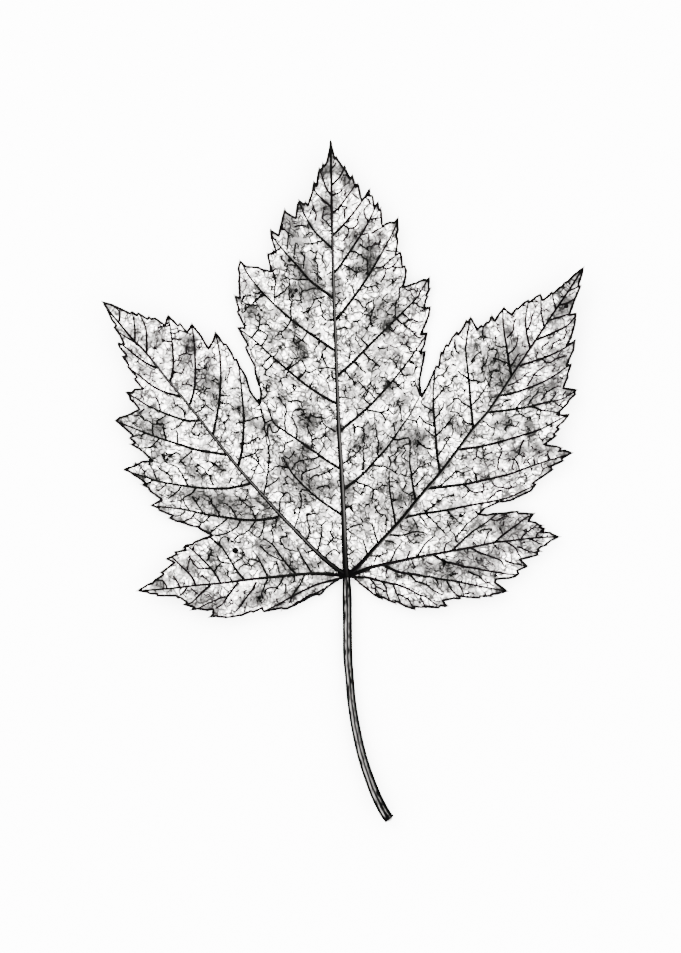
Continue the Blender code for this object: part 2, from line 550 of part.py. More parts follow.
def make_stalk(collection):
    """A tube along the stalk, with the shallow groove that runs down it."""
    section = []
    for i in range(STALK_SIDES):
        turn = math.tau * i / STALK_SIDES
        reach = STALK_RADIUS * (1 - GROOVE_DEPTH * (i == STALK_SIDES // 4))
        section.append((reach * math.cos(turn), reach * math.sin(turn), 0, 1))
    profile = curve_object("stalk_section", section, True, "2D")
    rows = [(*placed(x, y), height * STALK_RADIUS, size) for x, y, height, size in STALK]
    path = curve_object("stalk_path", rows, False, "3D")
    path.data.twist_mode = "Z_UP"
    path.data.bevel_mode = "OBJECT"
    path.data.bevel_object = profile
    path.data.use_fill_caps = True
    collection.objects.link(profile)
    collection.objects.link(path)
    graph = bpy.context.evaluated_depsgraph_get()
    mesh = bpy.data.meshes.new_from_object(path.evaluated_get(graph))
    shape = bmesh.new()
    shape.from_mesh(mesh)
    bmesh.ops.remove_doubles(shape, verts=list(shape.verts), dist=0.00001)
    bmesh.ops.recalc_face_normals(shape, faces=list(shape.faces))
    shape.to_mesh(mesh)
    shape.free()
    stalk = bpy.data.objects.new("stalk_tube", mesh)
    stalk.matrix_world = path.matrix_world
    collection.objects.link(stalk)
    bpy.data.objects.remove(path)
    bpy.data.objects.remove(profile)
    stalk.hide_render = True
    stalk.display_type = "WIRE"
    return stalk


def main():
    clear_scene()
    leaf = new_collection("maple_leaf")
    tools = new_collection("cutters")
    blade = make_blade(leaf)
    stalk = make_stalk(tools)
    join = blade.modifiers.new("stalk", "BOOLEAN")
    join.operation = "UNION"
    join.solver = "EXACT"
    join.object = stalk
    blade.data.materials.append(leaf_material())


main()
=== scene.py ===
# %% [markdown]
# # A maple leaf in pen and wash
#
# The leaf lies on a pale table with its ribbed side up, and we look straight down on it.
# It is drawn in ink: a pale, washed blade, dark ribs that stand up from it, a fine net
# of veins between them, a black toothed edge and a grooved stalk.
#
# The frame holds one plain solid for the whole leaf. We keep its outline and its gentle
# cup, and replace it with finer pieces: the blade, the ribs, the net, the edge and the
# stalk. Each is made from a few named sizes and from lines that were read one by one.

# %% Start from the frame
import math

import bmesh
import bpy
import numpy as np
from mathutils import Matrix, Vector, kdtree
from mathutils.geometry import delaunay_2d_cdt


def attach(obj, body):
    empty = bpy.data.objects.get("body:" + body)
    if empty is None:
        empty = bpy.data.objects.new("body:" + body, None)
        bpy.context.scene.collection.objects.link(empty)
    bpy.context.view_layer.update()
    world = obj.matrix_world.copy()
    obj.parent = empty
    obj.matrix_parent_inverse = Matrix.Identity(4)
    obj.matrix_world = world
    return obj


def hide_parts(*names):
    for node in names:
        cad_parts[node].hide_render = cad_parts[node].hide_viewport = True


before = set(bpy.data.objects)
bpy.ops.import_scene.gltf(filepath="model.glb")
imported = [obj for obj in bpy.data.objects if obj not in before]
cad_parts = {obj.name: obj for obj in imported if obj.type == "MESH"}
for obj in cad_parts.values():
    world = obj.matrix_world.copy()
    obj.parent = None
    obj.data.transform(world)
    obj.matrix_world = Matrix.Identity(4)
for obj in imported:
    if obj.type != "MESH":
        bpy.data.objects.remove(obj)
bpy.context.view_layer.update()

LEAF = "maple_leaf"

# %% [markdown]
# The lines below are in the drawing's own units, counted from the point where the five
# main ribs meet, x to the right and y to the tip of the middle lobe. One unit is about
# a third of a millimetre. The origin of the frame is the middle of the flat spot that
# the leaf rests on, a little way up the midrib.

# %% Sizes
LEAF_LENGTH = 0.228
DRAWN_LENGTH = 684.5
UNIT = LEAF_LENGTH / DRAWN_LENGTH
REST_FROM_STALK = 0.0455
BLADE_THICKNESS = 0.0007


def placed(points):
    """Metres in the frame, for rows of x and y in the drawing's units."""
    return np.asarray(points, float) * UNIT - (0, REST_FROM_STALK)


# %% [markdown]
# A picked leaf is never quite flat. The middle rests on the table, on a flat triangle
# under the leaf's weight, and the lobes rise a few millimetres to their tips with slow
# waves. One function gives the height of the lower face at any point, so every piece
# that lies on the blade can ask for it.

# %% The cup of the blade
REST_RADIUS = 0.026
REST_CORNERS = 3
REST_SLOPE = 0.022
CUP_REACH = 0.076
CUP_RISE = 0.0075
CUP_POWER = 1.7
LOBE_WAVES = 5
LOBE_WAVE_HEIGHT = 0.0011
LOBE_WAVE_TURN = 0.6
EDGE_WAVE_HEIGHT = 0.0005
EDGE_WAVE_LENGTH = 0.031
EDGE_WAVE_SLANT = 0.6


def cup_height(x, y):
    """Height of the lower face, in metres, at places in the frame."""
    reach = np.hypot(x, y)
    turn = np.arctan2(y, x)
    beyond = np.maximum(0, reach - REST_RADIUS) / CUP_REACH
    past = np.zeros_like(reach)
    for i in range(REST_CORNERS):
        side = math.tau * (i / REST_CORNERS + 0.25) + math.pi
        out = x * math.cos(side) + y * math.sin(side)
        past = np.maximum(past, out - REST_RADIUS * math.cos(math.pi / REST_CORNERS))
    rise = CUP_RISE * beyond**CUP_POWER + REST_SLOPE * past
    wave = LOBE_WAVE_HEIGHT * beyond * np.sin(LOBE_WAVES * turn + LOBE_WAVE_TURN)
    across = (x + EDGE_WAVE_SLANT * y) * math.tau / EDGE_WAVE_LENGTH
    return np.maximum(0, rise + wave + EDGE_WAVE_HEIGHT * beyond * np.sin(across))


print("height at the tip of the middle lobe", cup_height(*placed([(-17, 435)]).T))

# %% [markdown]
# The edge of the leaf is its signature: five lobes with saw teeth. Each list runs along
# one side of a lobe, anticlockwise from the right of the stalk, and holds a point for
# each tooth and each notch and only a few between them.

# %% The toothed margin
LOWER_RIGHT_UNDER = [
    (4, -3), (6.3, -5), (11, -9.5), (18, -14.5), (25.5, -21), (29, -23), (35.4, -25.8),
    (35.4, -24), (41, -27), (49.3, -30.5), (49.2, -28.3), (57.6, -32.8), (68.2, -36),
    (68.3, -33.2), (73.7, -33.9), (80, -33.4), (91.3, -34.2), (93.2, -32), (97.4, -32.8),
    (101.6, -31.4), (98.2, -28.2), (97, -26.7), (105.8, -24.8), (115.2, -25.5),
    (113.5, -22.8), (122.5, -23.8), (132.4, -24.5), (133.2, -22.6), (145.8, -22.7),
    (144.7, -20.7), (150, -20.1), (161.4, -17.1), (155.4, -11.9), (148.5, -7.3),
    (148.9, -5.8), (153.9, -5), (161.5, -4.8), (168.4, -2.7), (172.2, 0.5), (171, 3.4),
    (181.3, 8), (174.5, 14.5), (183.7, 16.8), (192.1, 18.9), (190.6, 21.8),
    (195.4, 22.9), (191.8, 25.2), (193.7, 26.8), (202.1, 29.1), (199.8, 30.3),
    (204.4, 33.3), (214, 38),
]
LOWER_RIGHT_OVER = [
    (204.4, 41.7), (202.9, 43.2), (196.7, 43.6), (199.6, 46.3), (194.4, 47.8),
    (197.1, 49.7), (191.4, 50.9), (188.3, 53.2), (182.6, 54.3), (185.3, 58.5),
    (188.3, 62), (179, 62.4), (171.5, 62.7), (170.7, 64.3), (164.2, 64), (157.7, 62.7),
    (144.7, 62), (139.7, 60.8), (134, 61.4),
]
RIGHT_OUTER = [
    (138.2, 65.4), (144.7, 68.1), (150, 70.9), (155.4, 71.5), (163.8, 73.1),
    (170, 76.1), (183.7, 82.6), (190.1, 90.7), (187.6, 91.6), (193.7, 95.8),
    (199.8, 100), (206.3, 105), (204.1, 107.3), (216.9, 113.2), (215.2, 115.3),
    (226, 121.8), (216.7, 125.3), (213.6, 124.9), (215.2, 127.1), (209, 129.1),
    (199.1, 130.6), (206, 135.6), (209.8, 138.8), (207.5, 140.2), (213.4, 145.7),
    (210.6, 147.1), (216.7, 152.5), (223.2, 161.4), (215.2, 160.3), (211.3, 160.9),
    (220.1, 169.7), (221.7, 173.1), (228.3, 179.6), (227.8, 182.3), (230.1, 184.8),
    (224.3, 186.1), (216.7, 187), (219, 193), (221.1, 197), (220.5, 200),
    (223.2, 207), (224.2, 211.2), (220.5, 210.4), (222.8, 216.2), (226.2, 223.1),
    (227.8, 235.3), (220.5, 230.7), (223.6, 235.3), (227.4, 249.1), (229.1, 262),
    (222.8, 260.6), (227.4, 273.6), (233.7, 289.1), (231.2, 288.9), (234.3, 298.1),
    (236.2, 308),
]
RIGHT_INNER = [
    (231.2, 304.6), (224.3, 299.2), (219, 293.5), (215.2, 291.6), (213.2, 288.5),
    (209.8, 286.6), (204.8, 282), (203.8, 283.4), (199.1, 278.6), (195.3, 275.5),
    (192.7, 281.2), (186.8, 277.8), (181.9, 273.6), (180.9, 275.3), (175.4, 272.4),
    (169.6, 266.7), (168.1, 267.1), (163.3, 261.2), (158.9, 264.8), (156.2, 268.2),
    (150.5, 261.5), (147, 255.6), (143.7, 261.2), (140.2, 253.2), (138.6, 254),
    (135.2, 248.9), (133.3, 250.2), (129.8, 246.9), (123.2, 259.4), (119.9, 253.8),
    (118.2, 255.3), (114.5, 247.7), (110.7, 241.8), (109.2, 244), (103, 237),
    (100.3, 230.6), (99.1, 232.3), (95.9, 227.2), (94.6, 222.8), (92.4, 223.4),
    (91, 214), (90.2, 208.8), (87.9, 209.6), (82.4, 197.2), (79, 189.2), (74.5, 180.8),
]
CENTRE_RIGHT = [
    (73.2, 189.6), (73.5, 196), (76.8, 212), (79.1, 224.6), (75, 223.4), (77.8, 228.5),
    (81, 243.4), (75.3, 241.5), (79.1, 250), (82.2, 257.9), (84.1, 268.4),
    (78.4, 267.5), (79.1, 272.8), (81.8, 278.5), (80.3, 279.3), (84.3, 286.6),
    (82.3, 287), (82.8, 298.7), (78.9, 295.5), (75.5, 295.7), (69, 293), (57, 288.8),
    (59.4, 297.2), (59.8, 303.4), (57.9, 309.9), (55.8, 309), (54.7, 319),
    (53.2, 323.7), (49.8, 321.5), (51.3, 333.5), (49.8, 338.5), (51.5, 343), (51, 358),
    (46.2, 352.5), (41.3, 352.6), (35.7, 349.8), (34.1, 367.7), (31.9, 365.9),
    (31, 373.8), (27.4, 369), (26, 379), (22.9, 378.8), (22.9, 386.4), (18.9, 379.4),
    (14.6, 375.7), (12.2, 387.3), (10.4, 391.8), (8.7, 389.1), (5.1, 399.8),
    (2.9, 396.7), (-1.2, 404.7), (-2.5, 409.6), (-3.8, 407), (-9.2, 414.6),
    (-11, 418.2), (-12.2, 416.8), (-17, 435.5),
]
CENTRE_LEFT = [
    (-19, 423), (-21.7, 411.5), (-23.3, 409.2), (-25, 412.3), (-26.6, 405),
    (-28.6, 406.5), (-30.2, 400.7), (-31.6, 390.4), (-34, 393.4), (-37.3, 378),
    (-40, 370.8), (-41.8, 373.9), (-43.6, 370.8), (-49.2, 375), (-51.2, 367.7),
    (-52.6, 357.4), (-60.5, 362.3), (-63, 367), (-66, 355.6), (-69.5, 340.4),
    (-75.3, 343.8), (-76.8, 347.2), (-77.8, 342.8), (-77, 335.5), (-73, 324),
    (-76, 326), (-75.4, 321.4), (-81.3, 321.5), (-77.8, 304.2), (-84.3, 305.7),
    (-88.9, 307.8), (-100.8, 308.8), (-108, 315), (-110.3, 305), (-109, 299.6),
    (-109.7, 292.7), (-108.8, 278.1), (-114.2, 280.3), (-109.8, 264.5),
    (-111.3, 262.4), (-104.2, 247.8), (-111.2, 248), (-108.4, 242.3), (-101, 229.5),
    (-103.7, 228.2), (-99.6, 218.6), (-93.9, 208), (-93.1, 199.8), (-88.5, 185.7),
    (-87.6, 180.3), (-88.6, 173.4),
]
LEFT_INNER = [
    (-94, 180.3), (-96.5, 184.5), (-100.4, 198.7), (-107.2, 209.2), (-110.3, 217.2),
    (-112.3, 216), (-114.2, 221), (-120.4, 231.3), (-123.1, 231.5), (-132.4, 244.8),
    (-134.6, 235.4), (-138.9, 228), (-145.4, 239.3), (-155.7, 252.2), (-158, 247),
    (-160.3, 244), (-166.8, 252.4), (-169.1, 250.4), (-179.3, 260.4), (-180.9, 257),
    (-182.6, 250.6), (-187.4, 254.3), (-192, 257.2), (-195.5, 256.4), (-198.2, 259.3),
    (-199.7, 256.6), (-208.9, 262.4), (-210.4, 260.4), (-214.6, 263.4),
    (-216.9, 261.9), (-225.7, 266.2), (-234.1, 270.1), (-245.5, 273),
]
LEFT_OUTER = [
    (-243.3, 269.6), (-240, 263.5), (-236, 253.9), (-231.8, 248.6), (-233.4, 246.3),
    (-227.2, 237.1), (-224.3, 231), (-230.3, 231.4), (-227, 224.8), (-222, 219),
    (-225.9, 218.2), (-219.7, 209.2), (-220.7, 207.8), (-212, 197.3), (-214.5, 195.9),
    (-211.2, 191.9), (-206.6, 186.4), (-212.7, 186), (-215.4, 182.8), (-223.4, 183.4),
    (-218.8, 178.5), (-217.7, 174.3), (-212.7, 169.7), (-209.5, 165.5),
    (-219.6, 160.2), (-227.5, 158), (-232.8, 153.8), (-224.2, 146.2), (-215.9, 139),
    (-219, 136.2), (-214.2, 132), (-219, 130.5), (-210, 125.5), (-203.5, 120.5),
    (-197.4, 114.5), (-205.1, 114.2), (-209.6, 111.8), (-215, 111.1), (-213.4, 109.6),
    (-225.7, 105.3), (-219.6, 102.6), (-203.6, 91.5), (-207.7, 90.1), (-199.7, 85.8),
    (-199.3, 83.5), (-187.5, 75), (-198.7, 69), (-189.6, 65.7), (-189.6, 63.6),
    (-176.6, 58.6), (-179.5, 56.4), (-172, 52.3), (-165.9, 51.2), (-158.2, 48.1),
    (-149.8, 46.2), (-145.2, 43.1), (-137.9, 39.3),
]
LOWER_LEFT_OVER = [
    (-145.2, 37), (-154, 33.2), (-155.2, 31.8), (-161.3, 30.5), (-164.3, 27.8),
    (-163, 25.6), (-173.8, 23.4), (-172.4, 20.9), (-179.6, 17.5), (-182.3, 15.7),
    (-175.1, 11.9), (-184.2, 4.9), (-187.9, 2.2), (-185.4, 0.4), (-192.7, -4.3),
    (-194.9, -7), (-199.5, -8.5), (-211.8, -16.4),
]
LOWER_LEFT_UNDER = [
    (-200.3, -18.3), (-196.5, -20), (-190.7, -20.4), (-190.4, -22.1), (-171.2, -22.1),
    (-169.7, -23.8), (-166.6, -24.2), (-162, -27.7), (-164.9, -30), (-154.8, -33),
    (-158.2, -35.9), (-149, -35.1), (-139.8, -36.5), (-135.3, -35.7), (-135.3, -38.8),
    (-139.8, -43.1), (-131.4, -42.6), (-120, -43.9), (-104.8, -41.5), (-96.4, -37.8),
    (-94.1, -38.9), (-86.1, -35), (-85.6, -38.2), (-76.5, -36.6), (-66.6, -34.7),
    (-66.6, -37.5), (-64.7, -35.4), (-59.7, -35.1), (-49, -30.1), (-42.9, -27.1),
    (-36, -22.8), (-30.2, -20.9), (-28.3, -22.1), (-24.5, -19.4), (-19.9, -14),
    (-13.8, -9.5), (-5.5, -4.2),
]
MARGIN = np.array(
    LOWER_RIGHT_UNDER + LOWER_RIGHT_OVER + RIGHT_OUTER + RIGHT_INNER + CENTRE_RIGHT
    + CENTRE_LEFT + LEFT_INNER + LEFT_OUTER + LOWER_LEFT_OVER + LOWER_LEFT_UNDER
)
print("margin points", len(MARGIN))

# %% [markdown]
# Five main ribs run from the stalk, one to the tip of each lobe, and side ribs leave
# them for the larger teeth. Each line starts on the rib that carries it. The lines are
# few-pointed here, and a spline makes them smooth further down.

# %% Main ribs and side ribs
MIDRIB = [
    (-1, -3), (-2.5, 15), (-3.5, 50), (-5.9, 101), (-8.4, 139), (-10, 177),
    (-12.2, 240), (-13.6, 275), (-15.5, 350), (-16.3, 400), (-17, 435.5),
]
LEFT_RIB = [
    (-2, 0), (-11.6, 6.5), (-22.3, 14.9), (-34.5, 26.2), (-49.8, 41.8), (-66, 58.5),
    (-90, 85), (-109, 106.7), (-134.6, 138.6), (-157.5, 167.9), (-176.6, 190.9),
    (-200.9, 221.5), (-212.4, 233), (-226, 249), (-245.5, 273),
]
RIGHT_RIB = [
    (0, 0), (8, 6), (15, 13), (26.7, 26.2), (39.7, 40), (53.5, 54.5), (65, 69),
    (77.7, 84.5), (93, 102), (109, 123.4), (125, 145), (139.7, 162), (150.5, 177.3),
    (164.3, 198.7), (181.5, 224.6), (207.5, 264.4), (220.5, 283.5), (236, 308),
]
LOWER_LEFT_RIB = [
    (-2, -0.5), (-13, 0), (-28, 1), (-43.6, 0.6), (-52, 0), (-69.6, -1.8),
    (-101.8, -5.2), (-126.8, -8.5), (-150.6, -10.4), (-168.9, -12.7), (-190.4, -14.7),
    (-211.8, -16.4),
]
LOWER_RIGHT_RIB = [
    (0, -1), (12.4, 2.8), (21.6, 6.6), (31.6, 9.3), (49.9, 13.1), (69.1, 17.3),
    (85.2, 20.2), (105, 23.8), (122.5, 27), (147, 32.1), (157.7, 33.3), (176.1, 35.6),
    (191.4, 37.1), (214, 38),
]
CENTRE_LEFT_SIDES = [
    [(-5.6, 59.5), (-30.5, 76.7), (-49.6, 94.6), (-58.5, 106), (-66, 120)],
    [
        (-7.5, 106), (-20, 113.5), (-35.6, 124.5), (-51, 135.4), (-66, 145.6),
        (-74, 152), (-80, 168), (-86, 175),
    ],
    [
        (-11, 171), (-22.2, 176.9), (-42.1, 189.9), (-66.6, 210.2), (-79.6, 221.7),
        (-91.9, 233.2), (-107.2, 244.7), (-111.2, 248),
    ],
    [
        (-12.5, 224), (-20, 228.6), (-49, 249.2), (-62, 260), (-79.6, 276.2),
        (-96.5, 295.7), (-108, 315),
    ],
    [
        (-14, 276), (-28.4, 286.5), (-39.1, 295.3), (-50.6, 308.7), (-62, 321.4),
        (-75, 337.8), (-76.8, 347),
    ],
    [(-14.7, 325), (-29.9, 339.3), (-36, 347), (-43.7, 360.8), (-49.2, 375)],
    [(-15.9, 366), (-30.2, 379.3), (-32.9, 384.6), (-34, 393)],
    [(-16.3, 378), (-20.4, 383.8), (-23.9, 392.7), (-28.5, 406)],
]
CENTRE_RIGHT_SIDES = [
    [
        (-4.5, 84), (5, 92), (17, 102), (31, 117.5), (39.4, 126.8), (55.5, 150),
        (61.6, 158.6), (72.3, 178.5),
    ],
    [(-8, 143), (19.3, 166), (41, 189), (56.2, 207.4), (68.4, 224.2), (81, 243.3)],
    [
        (-10.5, 198.5), (3, 210), (22.5, 229.9), (45.5, 252.5), (68.4, 275.5),
        (73, 283), (82.8, 298.6),
    ],
    [
        (-12.5, 253.5), (-3, 265), (14.6, 288.8), (28.4, 311), (41.4, 334),
        (48.3, 348.5), (51, 358),
    ],
    [(-14, 301), (-7.6, 308), (8.5, 331.7), (20.4, 350.8), (31, 373.7)],
    [(-15, 338.6), (-4.5, 348.5), (11.6, 368.4), (22.9, 386.4)],
    [(-15.6, 361), (-10.6, 363.8), (-6, 369.2), (10.4, 391.8)],
    [(-16, 378), (-7.9, 381), (-3.4, 386.4)],
    [(-16, 388), (-7.9, 396.3), (-3.4, 405), (-2.5, 409.6)],
    [(-16.3, 404), (-12.3, 408.8), (-10.5, 412.8)],
]
LEFT_INNER_SIDES = [
    [
        (-109.5, 107.5), (-107, 117), (-104.6, 131), (-103.7, 156), (-105, 176),
        (-107.8, 202), (-110.3, 217),
    ],
    [
        (-134.6, 139), (-131.1, 155.8), (-128.1, 172.7), (-126.6, 196), (-127.5, 220),
        (-132.4, 244.8),
    ],
    [(-158, 168), (-153, 185), (-152, 208), (-153, 231), (-155.7, 252)],
    [
        (-177.5, 191.5), (-174.4, 203.4), (-173.8, 215.6), (-176, 241.6),
        (-179.3, 260.3),
    ],
    [(-200.1, 219.8), (-200.2, 235.5), (-201.6, 247.8), (-208.9, 262.4)],
    [(-211.9, 233.2), (-211.9, 246.2), (-214.6, 263)],
    [(-227.2, 252.4), (-226.9, 261.5), (-234.5, 269.5)],
]
LEFT_OUTER_SIDES = [
    [
        (-68.5, 58), (-77, 56), (-91, 54.4), (-107, 55), (-120, 57), (-136, 59.2),
        (-153.6, 63), (-172, 66.3), (-198.6, 69),
    ],
    [
        (-97, 91), (-107, 88.5), (-119, 86.3), (-132.5, 86), (-149.9, 86.9),
        (-168.3, 89.6), (-189.7, 93.4), (-202.8, 98), (-225.7, 105.3),
    ],
    [
        (-121, 119.7), (-134.5, 121.8), (-149.9, 124.4), (-169.1, 130.5),
        (-187.4, 136.2), (-202, 141.6), (-218.1, 148.1), (-232.8, 153.8),
    ],
    [
        (-147, 154), (-160.7, 153.8), (-172.1, 157.3), (-185.9, 162.3),
        (-198.9, 168.5), (-209.6, 175.1), (-223.4, 183.4),
    ],
    [(-166.8, 177.7), (-183.6, 182.7), (-195.1, 188.8), (-209.6, 200.3), (-220.7, 208)],
    [(-190.5, 206.1), (-200.5, 211), (-209.6, 217.2), (-225.7, 230.2), (-230.3, 231.3)],
    [(-211.9, 231.7), (-223.4, 238.6), (-233, 246.3)],
]
RIGHT_INNER_SIDES = [
    [(19.8, 19), (17.5, 28.5), (14.4, 37.7)],
    [(30.5, 31), (26.7, 43), (24, 54.5)],
    [(48, 50), (46, 63), (43.5, 75), (42, 88), (41.6, 105.5)],
    [(68.5, 73), (65.4, 87.4), (63.9, 99.7), (62.3, 110.4), (62.5, 125), (63, 137)],
    [
        (92.6, 102), (89.9, 116.5), (88.7, 131.8), (86.8, 154.8), (85.7, 171.6),
        (86.1, 189.2), (87.9, 209.6),
    ],
    [
        (125.5, 146), (122.8, 173.9), (121.4, 191.8), (119.5, 209.5), (118, 224.8),
        (119.5, 238.5), (123.2, 259.3),
    ],
    [
        (163.5, 198.7), (160.5, 214.8), (158.2, 230.1), (155.5, 247.7), (155.1, 263.8),
        (156.2, 268.2),
    ],
    [(181.9, 226), (178.4, 243), (177.7, 256.7), (180.9, 275.3)],
    [(196, 246.8), (193.3, 261.3), (192.7, 281)],
    [(207.5, 265), (205.2, 273.6), (203.8, 283.4)],
    [(216, 285.5), (213, 289)],
    [(221.3, 288.9), (219.4, 293.5)],
]
RIGHT_OUTER_SIDES = [
    [(40, 40), (48, 39.3), (56, 39.5), (64, 42.2), (71, 43), (78, 41)],
    [
        (56, 56.7), (70, 60), (90, 63), (102, 65), (122, 69.2), (141, 72.5),
        (159, 76.5), (172, 82), (190.1, 90.7),
    ],
    [
        (80, 86), (93.7, 87.4), (109, 89.3), (124.3, 91.6), (139.6, 95.1),
        (161.6, 100.4), (178.4, 106.5), (193.7, 111.9), (209, 116.5), (226, 121.8),
    ],
    [
        (109.8, 124.8), (132, 127.8), (150.6, 132.2), (175.4, 139.5), (190.7, 144.4),
        (205.2, 151.7), (223.2, 161.4),
    ],
    [
        (139.5, 162), (160.1, 164.3), (180, 167.4), (198.3, 172), (213, 175),
        (230, 184.8),
    ],
    [
        (151, 178.6), (165.4, 181.2), (190.7, 190.3), (206, 198.4), (213.6, 203.7),
        (224.2, 211.2),
    ],
    [(171.5, 208.5), (186.1, 213.1), (202.9, 219.2), (219, 227.7), (227.8, 235.3)],
    [(188.4, 234.2), (205.2, 241.4), (215.2, 246), (222.8, 252.2), (229.1, 262)],
    [(202.1, 254.1), (218.2, 259), (222.8, 260.6)],
    [(211.3, 269), (218.2, 270.5), (227.4, 275.9)],
    [(220.5, 283.1), (226.6, 285.4), (233.5, 289)],
]
LOWER_LEFT_SIDES = [
    [
        (-5, -3), (-20, -7), (-28, -9), (-38, -13), (-50, -19), (-62, -25.5),
        (-71, -30.5), (-83, -36),
    ],
    [(-35.6, 1.6), (-40.6, 9.3), (-47.4, 20.8), (-51.3, 29.2)],
    [(-52, 0.9), (-58.9, 8.5), (-65.1, 16.2), (-75, 30), (-86.5, 37.6)],
    [(-79.6, -2.5), (-85.7, 10.1), (-90.3, 18.5), (-96.4, 26.1)],
    [(-102.6, -5), (-108.7, 1.6), (-115.4, 11.7), (-125.3, 27.1), (-137, 38)],
    [(-126.8, -8.3), (-133.7, 3.3), (-142.1, 12.5), (-150.6, 20.9), (-161, 30)],
    [(-151.3, -10.3), (-155.9, -1.3), (-165.9, 8.7), (-175, 17), (-182, 15.7)],
    [(-167, -12), (-170, -6.5), (-173.5, -1), (-174.5, 2)],
    [(-43, -1), (-46, -7.5), (-49, -12.5), (-52.5, -17), (-55.5, -22), (-59, -31)],
    [(-64, -2), (-67, -8.5), (-71, -14), (-75, -20)],
    [(-79.5, -4.5), (-82.5, -10), (-83.5, -14), (-85.5, -19), (-83.5, -27)],
    [(-91, -7), (-95, -15), (-100, -21.5), (-106, -30), (-114, -39)],
    [(-109.5, -7.5), (-116, -17), (-121, -24), (-125, -29.5), (-134, -35)],
    [(-136.5, -10), (-146, -18.5), (-151, -23.5), (-156, -28), (-164.9, -30)],
    [(-160, -12), (-162.5, -16), (-166, -19.5), (-169, -23)],
]
LOWER_RIGHT_SIDES = [
    [
        (3, -2), (10, -2.5), (20, -3), (30, -5.5), (44, -9), (50, -10), (60, -14),
        (66, -17), (72, -20.5), (78, -22), (87, -29), (92, -31.5),
    ],
    [
        (35, 9.5), (42, 6.5), (50, 3), (60, 1), (70, 0), (77, -2), (83, -2),
        (90, -4), (108, -6.5), (120, -9), (140, -13), (150, -15), (161.4, -17.1),
    ],
    [(43, 13), (45, 17.5), (48, 24), (51, 28), (54, 31.5)],
    [(59, 15.5), (61, 20), (62.5, 26)],
    [(69, 17.5), (72.5, 22.5), (76, 28.5), (80, 33), (90, 41)],
    [(105, 24), (111, 30.5), (118, 37), (125, 43), (137, 51), (144, 56.5), (151, 61.5)],
    [(147, 32), (152, 37), (163, 45.5), (170, 50.5), (177, 56), (188.3, 62)],
    [(198.5, 37.5), (201, 41.5)],
    [
        (85.5, 20), (92, 16), (98, 13), (106, 11), (117, 8), (124, 7), (139, 4),
        (155, 1.5), (162, 0.4), (171.5, 0.4),
    ],
    [
        (123, 27), (130, 23), (136, 20.5), (143, 18), (150, 15.5), (154, 13.5),
        (156, 9), (161, 7),
    ],
    [(157, 14), (163, 12), (172, 10), (180, 8.5)],
    [(158, 33), (163, 30), (166, 28), (168.5, 25.5), (170.3, 21), (174.5, 15.5)],
    [(182, 36), (187, 33.5), (192, 31), (197, 30)],
    [(62, 0), (66, -4), (68, -6.5), (75, -8.5), (80, -10.5), (84, -14.5), (97, -21.5)],
    [(88, -4), (90, -8), (91, -13.5)],
    [(99, -6), (102, -12), (105, -16.5), (110, -21), (114, -25)],
    [(46, -9.5), (47, -14), (51, -23), (54, -30)],
    [(35, -7.5), (38.5, -13), (39.5, -19), (42, -25), (45, -28)],
]
SIDE_RIBS = (
    CENTRE_LEFT_SIDES + CENTRE_RIGHT_SIDES + LEFT_INNER_SIDES + LEFT_OUTER_SIDES
    + RIGHT_INNER_SIDES + RIGHT_OUTER_SIDES + LOWER_LEFT_SIDES + LOWER_RIGHT_SIDES
)
print("side ribs", len(SIDE_RIBS))

# %% [markdown]
# Veins bend softly. A Catmull-Rom spline passes through every point that was read and
# rounds the way between them. It is resampled at even steps, so that tubes along it
# have even faces.

# %% Smooth lines
RIB_STEP = 2.4


def smooth_line(points, step):
    """A line through the points, rounded between them, at about even steps."""
    knots = np.asarray(points, float)
    before = 2 * knots[0] - knots[1]
    after = 2 * knots[-1] - knots[-2]
    ends = np.vstack([before, knots, after])
    rows = []
    for a, b, c, d in zip(ends, ends[1:], ends[2:], ends[3:]):
        count = max(1, round(np.linalg.norm(c - b) / step))
        t = np.arange(count)[:, None] / count
        bent = (2 * a - 5 * b + 4 * c - d) * t**2 + (3 * b - a - 3 * c + d) * t**3
        rows.append(b + ((c - a) * t + bent) / 2)
    return np.vstack(rows + [knots[-1:]])


MAIN_LINES = [
    smooth_line(line, RIB_STEP)
    for line in (MIDRIB, LEFT_RIB, RIGHT_RIB, LOWER_LEFT_RIB, LOWER_RIGHT_RIB)
]
SIDE_LINES = [smooth_line(line, RIB_STEP) for line in SIDE_RIBS]
print("midrib stations", len(MAIN_LINES[0]))

# %% [markdown]
# Two questions come up again and again: is a point inside the leaf, and how far is it
# from a line? Numpy answers both for thousands of points at once.

# %% Measuring points against lines
def inside_margin(points):
    """Whether each point is inside the margin, by the crossings of a ray to its right."""
    x, y = points[:, 0], points[:, 1]
    crossings = np.zeros(len(points), int)
    for a, b in zip(MARGIN, np.roll(MARGIN, -1, axis=0)):
        if a[1] == b[1]:
            continue
        spans = (a[1] > y) != (b[1] > y)
        crossings += spans & (x < a[0] + (y - a[1]) * (b[0] - a[0]) / (b[1] - a[1]))
    return crossings % 2 == 1


def gap_to_line(points, line):
    """Each point's distance to a line, and how far along the line it is, from 0 to 1."""
    gap = np.full(len(points), np.inf)
    share = np.zeros(len(points))
    for i, (a, b) in enumerate(zip(line, line[1:])):
        along = np.clip(((points - a) @ (b - a)) / max((b - a) @ (b - a), 1e-9), 0, 1)
        here = np.linalg.norm(points - a - along[:, None] * (b - a), axis=1)
        nearer = here < gap
        gap[nearer] = here[nearer]
        share[nearer] = (i + along[nearer]) / (len(line) - 1)
    return gap, share


def gap_to_margin(points):
    return gap_to_line(points, np.vstack([MARGIN, MARGIN[:1]]))[0]
